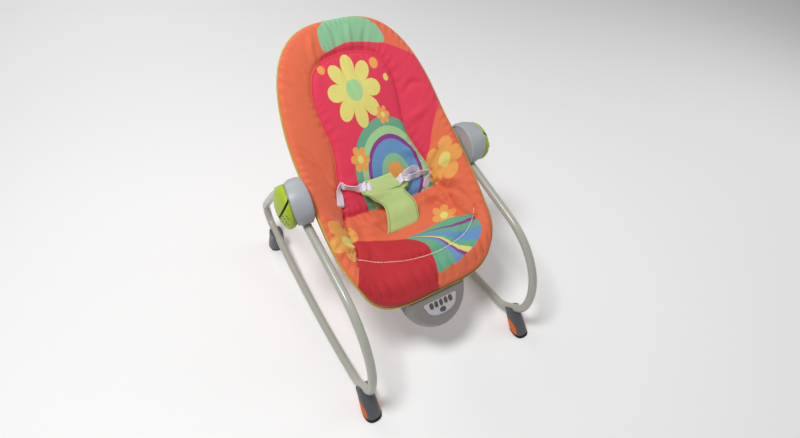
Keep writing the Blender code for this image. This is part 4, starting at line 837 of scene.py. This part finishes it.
def ribbon(name, stations, thickness, columns, crown=0.0):
    """A soft strap: stations are (place, left reach, right reach, direction across) in hub coordinates."""
    bpy.ops.object.select_all(action="DESELECT")
    bpy.ops.mesh.primitive_grid_add(x_subdivisions=columns, y_subdivisions=len(stations) - 1, size=1.0)
    strap = bpy.context.object
    strap.name = name
    corners = sorted(strap.data.vertices, key=lambda corner: (round(corner.co.y, 5), corner.co.x))
    for count, corner in enumerate(corners):
        row, column = divmod(count, columns + 1)
        place, left, right, _ = stations[row]
        across, out = strap_ways(stations, row)
        share = column / columns
        lift = crown * (1 - (2 * share - 1) ** 2)
        local = Vector(place) + across * (share * (left + right) - left) + out * lift
        corner.co = hub_to_world @ local
    thick = strap.modifiers.new("thick", "SOLIDIFY")
    thick.thickness, thick.offset = thickness, 0.0
    rounded = strap.modifiers.new("rounded", "BEVEL")
    rounded.width, rounded.segments, rounded.limit_method = thickness * 0.35, 2, "ANGLE"
    rounded.angle_limit = math.radians(50)
    finer = strap.modifiers.new("finer", "SUBSURF")
    finer.levels = finer.render_levels = 1
    for modifier in list(strap.modifiers):
        bpy.ops.object.modifier_apply(modifier=modifier.name)
    strap.data.shade_smooth()
    return strap


def drawn_stations(knots, steps=4):
    """Stations on a smooth line through knots of (x, y, z, left, right, way across), with lengths in mm."""
    rows = [[*metres(knot[:5]), *knot[5]] for knot in knots]
    return [(tuple(r[:3]), r[3], r[4], tuple(r[5:8])) for r in rounded_line(rows, steps=steps)]


WEAVE_RATE, RIB_RATES = 5200.0, (2600.0, 1700.0)
STRAP_THICK, STRAP_CROWN, FLAP_THICK, FLAP_CROWN, WEB_THICK = 0.0024, 0.0012, 0.0020, 0.0010, 0.0015
ACROSS_SEAT, TILTED = (1.0, 0.0, 0.0), (0.985, -0.04, -0.13)
strap_cloth = Finish("green_strap_cloth", Roughness=0.8, Sheen_Weight=0.2)
sx, sy, sz = strap_cloth.place.parts()
strap_weave = (sx * WEAVE_RATE).sine() * (sy * WEAVE_RATE + sz * WEAVE_RATE).sine()
strap_cloud = strap_cloth.place.noise(30.0)
strap_cloth.feed("Base Color", blended(strap_cloud, colour(172, 196, 118), colour(200, 220, 148)))
strap_cloth.feed("Normal", bumped(strap_cloud * 0.0014 + strap_weave * 0.00005, 0.5, 1.0))
crotch_stations = drawn_stations((
    (0.4, -87.2, -117, 41, 41, ACROSS_SEAT), (0.4, -88.5, -105, 41, 41, ACROSS_SEAT),
    (3, -85, -98.5, 41, 41, ACROSS_SEAT), (7, -77, -90.5, 40.5, 40.5, ACROSS_SEAT),
    (9.5, -67, -80.8, 40, 40, ACROSS_SEAT), (10.5, -56, -72.2, 38.5, 38.5, ACROSS_SEAT),
    (9.5, -45, -65.2, 37, 36, ACROSS_SEAT), (6, -36, -58.5, 39, 34, ACROSS_SEAT),
    (2, -28.5, -52.5, 46, 33, ACROSS_SEAT), (-1, -22.5, -47.5, 55, 37, TILTED),
    (-3.5, -18, -44.2, 62, 50, TILTED), (-6, -13.5, -40.8, 63, 55, TILTED),
    (-7.8, -10, -38, 60, 53, TILTED),
))
crotch = ribbon("crotch_strap_body", crotch_stations, STRAP_THICK, 14, STRAP_CROWN)
flap_stations = drawn_stations((
    (-7.8, -9.5, -40.5, 31, 31, ACROSS_SEAT), (-13, 1, -32.5, 31, 31, ACROSS_SEAT),
    (-18, 7.8, -27, 30.5, 30.5, ACROSS_SEAT), (-18.8, 9, -24, 30.5, 30.5, ACROSS_SEAT),
    (-17, 6, -22.5, 30.5, 30.5, ACROSS_SEAT), (-12, -3, -29, 30, 30, ACROSS_SEAT),
    (-6, -12.5, -35.5, 30, 30, ACROSS_SEAT), (-2.2, -19.5, -41.2, 29, 29, ACROSS_SEAT),
))
flap = ribbon("crotch_strap_flap", flap_stations, FLAP_THICK, 10, FLAP_CROWN)
settled(crotch, strap_cloth, "seat", "green_cloth", "crotch_strap")
settled(flap, strap_cloth, "seat", "green_cloth")

HEM_IN, HEM_LIFT, HEM_THREAD_R = 0.0042, 0.0021, 0.00065
green_thread = thread("green_thread", 0.7, colour(138, 158, 84), colour(156, 178, 100))
hems = []
for side in (-1, 1):
    hem_line = []
    for k, (place, left, right, _) in enumerate(crotch_stations):
        across, out = strap_ways(crotch_stations, k)
        reach = right - HEM_IN if side > 0 else HEM_IN - left
        hem_line.append(hub_to_world @ (Vector(place) + across * reach + out * HEM_LIFT))
    hems.append(swept("crotch_strap_hems", hem_line, HEM_THREAD_R, False, 2))
for hem in hems:
    hem.select_set(True)
bpy.ops.object.join()
hem_row = bpy.context.object
hem_row.name = "crotch_strap_hems"
settled(hem_row, green_thread, "seat", "green_cloth")

webbing_cloth = Finish("white_webbing_cloth", Roughness=0.7, Sheen_Weight=0.2)
wx, wy, _ = webbing_cloth.place.parts()
ribs = (wx * RIB_RATES[0] + wy * RIB_RATES[1]).sine()
patches = webbing_cloth.place.noise(80.0)
webbing_cloth.feed("Base Color", blended(patches, colour(214, 208, 226), colour(240, 236, 246)))
webbing_cloth.feed("Normal", bumped(ribs * 0.0002, 0.6, 1.0))
# Half the webbing's width and each webbing's middle line from the hubs, in millimetres, with the way across.
HALF_WEB = 9.5
WEBBING = {
    "left_waist_webbing": (
        (-121.5, -17, -47.5, (-0.9, -0.1, 0.4)), (-121.5, -15.8, -40, (-0.9, -0.1, 0.4)),
        (-116.8, -2.5, -31, (-0.8, -0.1, 0.5)), (-113.6, 9.1, -22.5, (-0.6, -0.2, 0.75)),
        (-109, 15, -16.5, (-0.3, -0.3, 0.9)), (-103, 14, -18, (-0.1, 0.4, 0.9)),
        (-96.1, 10.7, -22.6, (-0.2, -0.1, 0.97)), (-84.4, 5.1, -25, (-0.25, -0.15, 0.96)),
        (-72.6, -0.5, -27.5, (-0.15, 0.1, 0.97)), (-65.5, -1, -25.5, (0.0, 0.6, 0.8)),
        (-60, -0.6, -28.5, (0.1, 0.9, 0.3)), (-54.5, -1.2, -22.5, (0.1, 0.6, 0.8)),
        (-50, -3, -28.5, (0.1, 0.9, 0.4)), (-45.5, -6, -27, (0.1, 0.7, 0.7)),
        (-40, -8.5, -34, (0.1, 0.8, 0.6)),
    ),
    "right_waist_webbing": (
        (90.5, -30, -73, (0.5, -0.2, -0.8)), (92.2, -27.2, -66, (0.55, -0.2, -0.75)),
        (100.3, -22.2, -55, (0.6, -0.2, -0.75)), (107.4, -19, -44.5, (0.3, 0.1, -0.95)),
        (105, -13.8, -38.2, (0.1, 0.3, -0.95)), (90.6, -9.5, -39, (0.0, 0.1, -0.97)),
        (78, -9, -39.2, (0.1, -0.2, -0.96)), (66, -9.4, -38.9, (0.2, 0.1, -0.97)),
        (55, -9.8, -39.5, (0.1, -0.3, -0.9)), (47, -8.5, -36, (0.0, -0.8, -0.5)),
        (40, -7.5, -34, (0.1, -0.6, -0.8)), (34, -8.5, -30, (0.0, -0.9, -0.3)),
        (28, -10.5, -35, (-0.1, -0.7, -0.6)), (20, -12, -37, (-0.1, -0.8, -0.6)),
    ),
    "right_webbing_loop": (
        (37.7, -5.5, -33, (0.0, -0.3, -0.9)), (44, -4, -27, (0.0, -0.3, -0.9)),
        (52, -3.5, -24, (0.0, -0.2, -0.95)), (62, -2.1, -21.5, (0.0, -0.1, -0.97)),
        (72, -2.1, -22.5, (0.1, -0.1, -0.97)), (80, -5, -28, (0.1, -0.2, -0.97)),
        (85, -7.5, -35, (0.1, -0.3, -0.9)),
    ),
}
for name, route in WEBBING.items():
    route = drawn_stations([(*knot[:3], HALF_WEB, HALF_WEB, knot[3]) for knot in route], 5)
    solids = [name.replace("webbing", "strap")] if name.endswith("waist_webbing") else []
    settled(ribbon(name, route, WEB_THICK, 6), webbing_cloth, "seat", "white_webbing", *solids)

# The hubs: each is a grey moulded cup with the seat's pivot inside and a lime dome outside. The dome's front
# part is a thumb pad with grip bumps, split off by a slot. A riveted lug behind holds the riser.


def moulded(name, tint, roughness, grain=900.0, strength=0.18):
    """A moulded plastic or rubber with a fine texture and slight unevenness in its gloss."""
    made = Finish(name, Roughness=roughness)
    cloud = made.place.noise(14.0)
    fine = made.place.noise(grain, 2.0)
    darker = tuple(0.86 * level for level in tint[:3]) + (1.0,)
    made.feed("Base Color", blended(cloud, darker, tint))
    made.feed("Roughness", roughness - 0.05 + 0.12 * cloud)
    made.feed("Normal", bumped(fine, strength, 0.0003))
    return made


FLAT_WITHIN = math.radians(0.6)


def finished_copy(node, finish, slot, bevel, sharp=32.0):
    """A moulding's solid with its edges rounded and its curves smooth, in the place of the plain one."""
    made = frame["nodes"][node].data.copy()
    piece = linked(f"{node}_finished", made)
    shape = bmesh.new()
    shape.from_mesh(made)
    bmesh.ops.remove_doubles(shape, verts=shape.verts[:], dist=1e-6)
    bmesh.ops.dissolve_limit(shape, angle_limit=FLAT_WITHIN, verts=shape.verts[:], edges=shape.edges[:])
    shape.to_mesh(made)
    shape.free()
    alone(piece)
    if bevel:
        soft = piece.modifiers.new("soft_edge", "BEVEL")
        soft.width, soft.segments, soft.limit_method = bevel, 2, "ANGLE"
        soft.angle_limit = math.radians(sharp)
        bpy.ops.object.modifier_apply(modifier="soft_edge")
    bpy.ops.object.shade_smooth_by_angle(angle=math.radians(sharp))
    bodies = frame["record"]["behaviour"]["bodies"]
    body = next(name for name, members in bodies.items() if node in members)
    settled(piece, finish, body, slot, node)


hub_grey = moulded("hub_grey_moulding", colour(168, 173, 178), 0.42)
lime = moulded("lime_moulding", colour(166, 190, 30), 0.40, 1400.0, 0.45)
zinc = moulded("zinc_plating", colour(150, 150, 155), 0.35)
zinc.feed("Metallic", 1.0)
for word in ("left", "right"):
    finished_copy(f"{word}_hub_shell", hub_grey, "hub_grey_plastic", 0.0008)
    finished_copy(f"{word}_tilt_bracket", hub_grey, "hub_grey_plastic", 0.0005)
    finished_copy(f"{word}_hub_cover", lime, "lime_plastic", 0.0007)
    finished_copy(f"{word}_thumb_pad", lime, "lime_plastic", 0.0007)
    finished_copy(f"{word}_lug_rivet", zinc, "zinc_steel", 0.0002)
    for fixing in ("pivot_bolt", "bracket_screw"):
        zinc.put_on(frame["nodes"][f"{word}_{fixing}"])

HUB_SPLIT_X, CORE_SIDES, CORE_DROP = 0.227, 48, 0.38
# The near-black core behind the slot is a dark solid that stands in for the shade inside the hub, so its
# colour is painted shade: how far out each ring is from the split, and its radius.
CORE_PROFILE = (
    (0.0006, 0.0400), (0.0045, 0.0425), (0.0115, 0.0428), (0.0185, 0.0408), (0.0230, 0.0336),
    (0.0265, 0.0213), (0.0280, 0.0095),
)
SLOT_LEAN, SLOT_OUT, SLOT_HALF = math.radians(209.0), 0.0094, 0.0040
# The grip bumps' darker lime stands for the shade that falls in the grip, so it is painted shade.
grip_shade_lime = moulded("grip_shade_lime", colour(112, 130, 24), 0.5)
# The hub core's near-black is painted shade for the hollow behind the slot.
slot_shade_black = moulded("hub_shade_core", colour(26, 30, 14), 0.6)
for word, side in (("left", -1), ("right", 1)):
    core = linked(f"{word}_hub_shade_core", bpy.data.meshes.new(f"{word}_hub_shade_core"))
    rings = []
    for depth, size in CORE_PROFILE:
        for c, s in circle(CORE_SIDES):
            place = Vector((side * (HUB_SPLIT_X + depth), size * c, size * s - CORE_DROP * depth))
            rings.append(hub_to_world @ place)
    faces = skin(len(CORE_PROFILE) - 1, CORE_SIDES)
    faces += [tuple(range(CORE_SIDES)), tuple(range(len(rings) - CORE_SIDES, len(rings)))]
    core.data.from_pydata(rings, [], faces)
    outboard = Vector((side, 0.0, 0.0))
    pad_way = Vector((0.0, math.cos(SLOT_LEAN), math.sin(SLOT_LEAN)))
    across_slot = hub_to_world.to_3x3() @ (outboard - pad_way).normalized()
    middle = hub_to_world @ Vector((side * (HUB_SPLIT_X + SLOT_OUT), 0.0, 0.0))
    shape = bmesh.new()
    shape.from_mesh(core.data)
    for way in (-1, 1):
        cut = bmesh.ops.bisect_plane(
            shape, geom=shape.verts[:] + shape.edges[:] + shape.faces[:], dist=1e-7,
            plane_co=middle + across_slot * way * SLOT_HALF, plane_no=across_slot * way, clear_outer=True,
        )
        open_edges = [edge for edge in cut["geom_cut"] if isinstance(edge, bmesh.types.BMEdge)]
        bmesh.ops.edgeloop_fill(shape, edges=open_edges)
    bmesh.ops.recalc_face_normals(shape, faces=shape.faces[:])
    shape.to_mesh(core.data)
    shape.free()
    settled(core, slot_shade_black, "frame", "lime_plastic")

BUMP_R, BUMP_SUNK = 0.0019, 0.0002
# The grip bumps on the thumb pad, in millimetres from the hubs' middle. Their darker lime is painted shade.
GRIP_BUMPS = (
    (253.6, -23.8, 3.6), (249.3, -35.2, 14.6), (255.2, -18.5, -9.8), (252.3, -30.3, 2.2),
    (248.6, -39.1, 10.1), (254.1, -24.5, -11.8), (251.1, -35.5, -3.1), (252.5, -29.4, -16),
    (249.2, -39.8, -6.1),
)
for word, side in (("left", -1), ("right", 1)):
    bumps = []
    for x, y, z in map(metres, GRIP_BUMPS):
        bpy.ops.object.select_all(action="DESELECT")
        place = hub_to_world @ Vector((side * (x - BUMP_SUNK), y, z))
        bpy.ops.mesh.primitive_uv_sphere_add(segments=16, ring_count=8, radius=BUMP_R, location=place)
        bumps.append(bpy.context.object)
    for bump in bumps:
        bump.select_set(True)
    bpy.ops.object.join()
    bpy.ops.object.transform_apply(location=True, rotation=True, scale=True)
    bumps = bpy.context.object
    bumps.name = f"{word}_grip_bumps"
    bumps.data.shade_smooth()
    settled(bumps, grip_shade_lime, f"{word}_thumb", "lime_plastic")

# The feet: four of them clip on the tube and turn round it. Each is a dark grey moulded trough with a tread
# of orange rubber pressed into it and a black rubber sole under it.

dark_grey = moulded("dark_grey_moulding", colour(84, 87, 93), 0.40)
foot_orange = moulded("orange_tread", colour(224, 100, 14), 0.55)
sole_black = moulded("black_sole", colour(22, 22, 24), 0.8)
for word in ("left", "right"):
    for end in ("front", "rear"):
        finished_copy(f"{word}_{end}_foot", dark_grey, "dark_grey_plastic", 0.0009)
        finished_copy(f"{word}_{end}_foot_tread", foot_orange, "orange_rubber", 0.0006)
        finished_copy(f"{word}_{end}_foot_sole", sole_black, "black_rubber", 0.0)

# The soothing unit: a moulded case of two warm grey halves, hooked on the seat tube in front; the rear half's
# darker grey is painted shade. Its slanting face has a pale plate with six rubber keys. Inside are a board, a
# cell and a motor with a lopsided weight.

unit_grey = moulded("unit_grey_moulding", colour(140, 135, 131), 0.38)
plate_grey = moulded("plate_grey_moulding", colour(190, 190, 196), 0.35)
key_brown = moulded("key_rubber", colour(92, 82, 74), 0.5)
green_board = moulded("board_green", colour(30, 95, 55), 0.4)
cell_sleeve = moulded("cell_sleeve", colour(60, 60, 64), 0.3)
# The rear half's darker grey is a shaded copy of the front half's grey: painted shade.
rear_shaded_grey = moulded("unit_rear_painted_shade", colour(104, 99, 94), 0.42)

FACE_TILT, FACE_Y, FACE_Z = math.radians(43.0), -0.2695, -0.1675
UNIT_SPLIT_Y, UNIT_WIDEST_Y, UNIT_WALL = -0.2400, -0.2293, 0.0022
UNIT_BEHIND, LEVEL_SIDES, CASE_SIDES, CASE_BANDS = 0.030, 64, 128, 48
# The case's outline at each level in millimetres from the hubs: height, half width and front.
UNIT_LEVELS = (
    (-237.4, 30, -270), (-233, 45, -281), (-226, 57, -289), (-214.5, 66.8, -295), (-203.1, 71.3, -297.5),
    (-191.7, 73.6, -298.6), (-175, 75, -299.2), (-146, 74.5, -298.5),
)
levels = []
for z, half_x, front in map(metres, UNIT_LEVELS):
    for c, s in circle(LEVEL_SIDES):
        deep = (UNIT_WIDEST_Y - front) if s < 0 else UNIT_BEHIND
        levels.append((half_x * c, UNIT_WIDEST_Y + deep * s, z))
walls = skin(len(UNIT_LEVELS) - 1, LEVEL_SIDES)
walls += [tuple(range(LEVEL_SIDES)), tuple(range(len(levels) - LEVEL_SIDES, len(levels)))]
outside = BVHTree.FromPolygons(levels, walls)
face_out = Vector((0.0, -math.sin(FACE_TILT), math.cos(FACE_TILT)))
UNIT_MIDDLE = Vector((0.0, UNIT_SPLIT_Y - 0.0002, -0.1930))
FACE_AWAY = (Vector((0.0, FACE_Y, FACE_Z)) - UNIT_MIDDLE).dot(face_out)
SOFT_EDGE = 0.013
# The front half's skin: from a place inside, each ray ends at the case's wall or at its slanting face,
# whichever is nearer, and the two run into each other over a soft edge.
points = []
for band in range(CASE_BANDS + 1):
    polar = math.pi / 2 * band / CASE_BANDS
    for c, s in circle(CASE_SIDES):
        way = Vector((math.sin(polar) * c, -math.cos(polar), math.sin(polar) * s))
        to_wall = (outside.ray_cast(UNIT_MIDDLE, way)[0] - UNIT_MIDDLE).length
        facing = way.dot(face_out)
        to_face = FACE_AWAY / facing if facing > 0.02 else 1.0
        share = min(max(0.5 + 0.5 * (to_face - to_wall) / SOFT_EDGE, 0.0), 1.0)
        reach = to_face + (to_wall - to_face) * share - SOFT_EDGE * share * (1 - share)
        points.append(UNIT_MIDDLE + way * reach)
made = bpy.data.meshes.new("unit_front_case")
made.from_pydata([hub_to_world @ point for point in points], [], skin(CASE_BANDS, CASE_SIDES))
shape = bmesh.new()
shape.from_mesh(made)
bmesh.ops.remove_doubles(shape, verts=shape.verts[:], dist=1e-6)
bmesh.ops.recalc_face_normals(shape, faces=shape.faces[:])
if sum(face.normal.y for face in shape.faces) > 0:
    bmesh.ops.reverse_faces(shape, faces=shape.faces[:])
shape.to_mesh(made)
shape.free()
case = linked("unit_front_case", made)
wall = case.modifiers.new("wall", "SOLIDIFY")
wall.thickness, wall.offset = UNIT_WALL, -1.0
alone(case)
bpy.ops.object.modifier_apply(modifier="wall")
bpy.ops.object.shade_smooth_by_angle(angle=math.radians(32))
settled(case, unit_grey, "seat", "unit_grey_plastic", "unit_front_shell")
finished_copy("unit_rear_shell", rear_shaded_grey, "unit_grey_plastic", 0.0008, 38.0)
finished_copy("battery_door", unit_grey, "unit_grey_plastic", 0.0005)
finished_copy("label_plate", plate_grey, "plate_grey_plastic", 0.0003)
for key in ("volume_down", "sound", "timer", "vibration", "volume_up", "power"):
    finished_copy(f"button_{key}", key_brown, "button_brown_rubber", 0.0004)

KEY_TOP, KEY_RIM_OUT, KEY_RIM_R, KEY_POWER, KEY_SIDES = 0.0016, 0.0009, 0.00055, 2.6, 40
KEY_PITCH, LAMP_DOWN, LAMP_R = 0.0124, 0.0014, 0.0011
# Each key's place across the face and down it from its middle, its half width and its half height.
KEY_ROWS = [((i - 2) * KEY_PITCH, -0.0080, 0.0048 if i in (0, 4) else 0.0042, 0.0070) for i in range(5)]
KEY_ROWS.append((0.0, 0.0088, 0.0075, 0.0052))


def on_face(x, down, out):
    """A place on the unit's slanting face, from its middle."""
    y = FACE_Y - math.cos(FACE_TILT) * down - math.sin(FACE_TILT) * out
    z = FACE_Z - math.sin(FACE_TILT) * down + math.cos(FACE_TILT) * out
    return hub_to_world @ Vector((x, y, z))


rim_grey = moulded("key_rim", colour(214, 214, 218), 0.35)
for i, (x, down, half_x, half_down) in enumerate(KEY_ROWS):
    loop = []
    for c, s in circle(KEY_SIDES):
        reach = squarish(c, s, KEY_POWER)
        across, along = (half_x + KEY_RIM_OUT) * c * reach, (half_down + KEY_RIM_OUT) * s * reach
        loop.append(on_face(x + across, down + along, KEY_TOP))
    rim = swept(f"key_rim_{i + 1}", loop, KEY_RIM_R, True, 3)
    settled(rim, rim_grey, "seat", "plate_grey_plastic")
lamp_place = on_face(0.0, LAMP_DOWN, KEY_TOP)
bpy.ops.object.select_all(action="DESELECT")
bpy.ops.mesh.primitive_uv_sphere_add(segments=20, ring_count=10, radius=LAMP_R, location=lamp_place)
bpy.ops.object.transform_apply(location=True, rotation=True, scale=True)
lamp = bpy.context.object
lamp.name = "unit_lamp"
lamp.data.shade_smooth()
settled(lamp, moulded("lamp_lens", colour(70, 30, 28), 0.15), "seat", "button_brown_rubber")
for node, finish in (
    ("circuit_board", green_board), ("battery_cell", cell_sleeve), ("battery_door_screw", zinc),
    ("left_unit_screw", zinc), ("right_unit_screw", zinc), ("vibration_motor", zinc), ("motor_weight", zinc),
):
    finish.put_on(frame["nodes"][node])
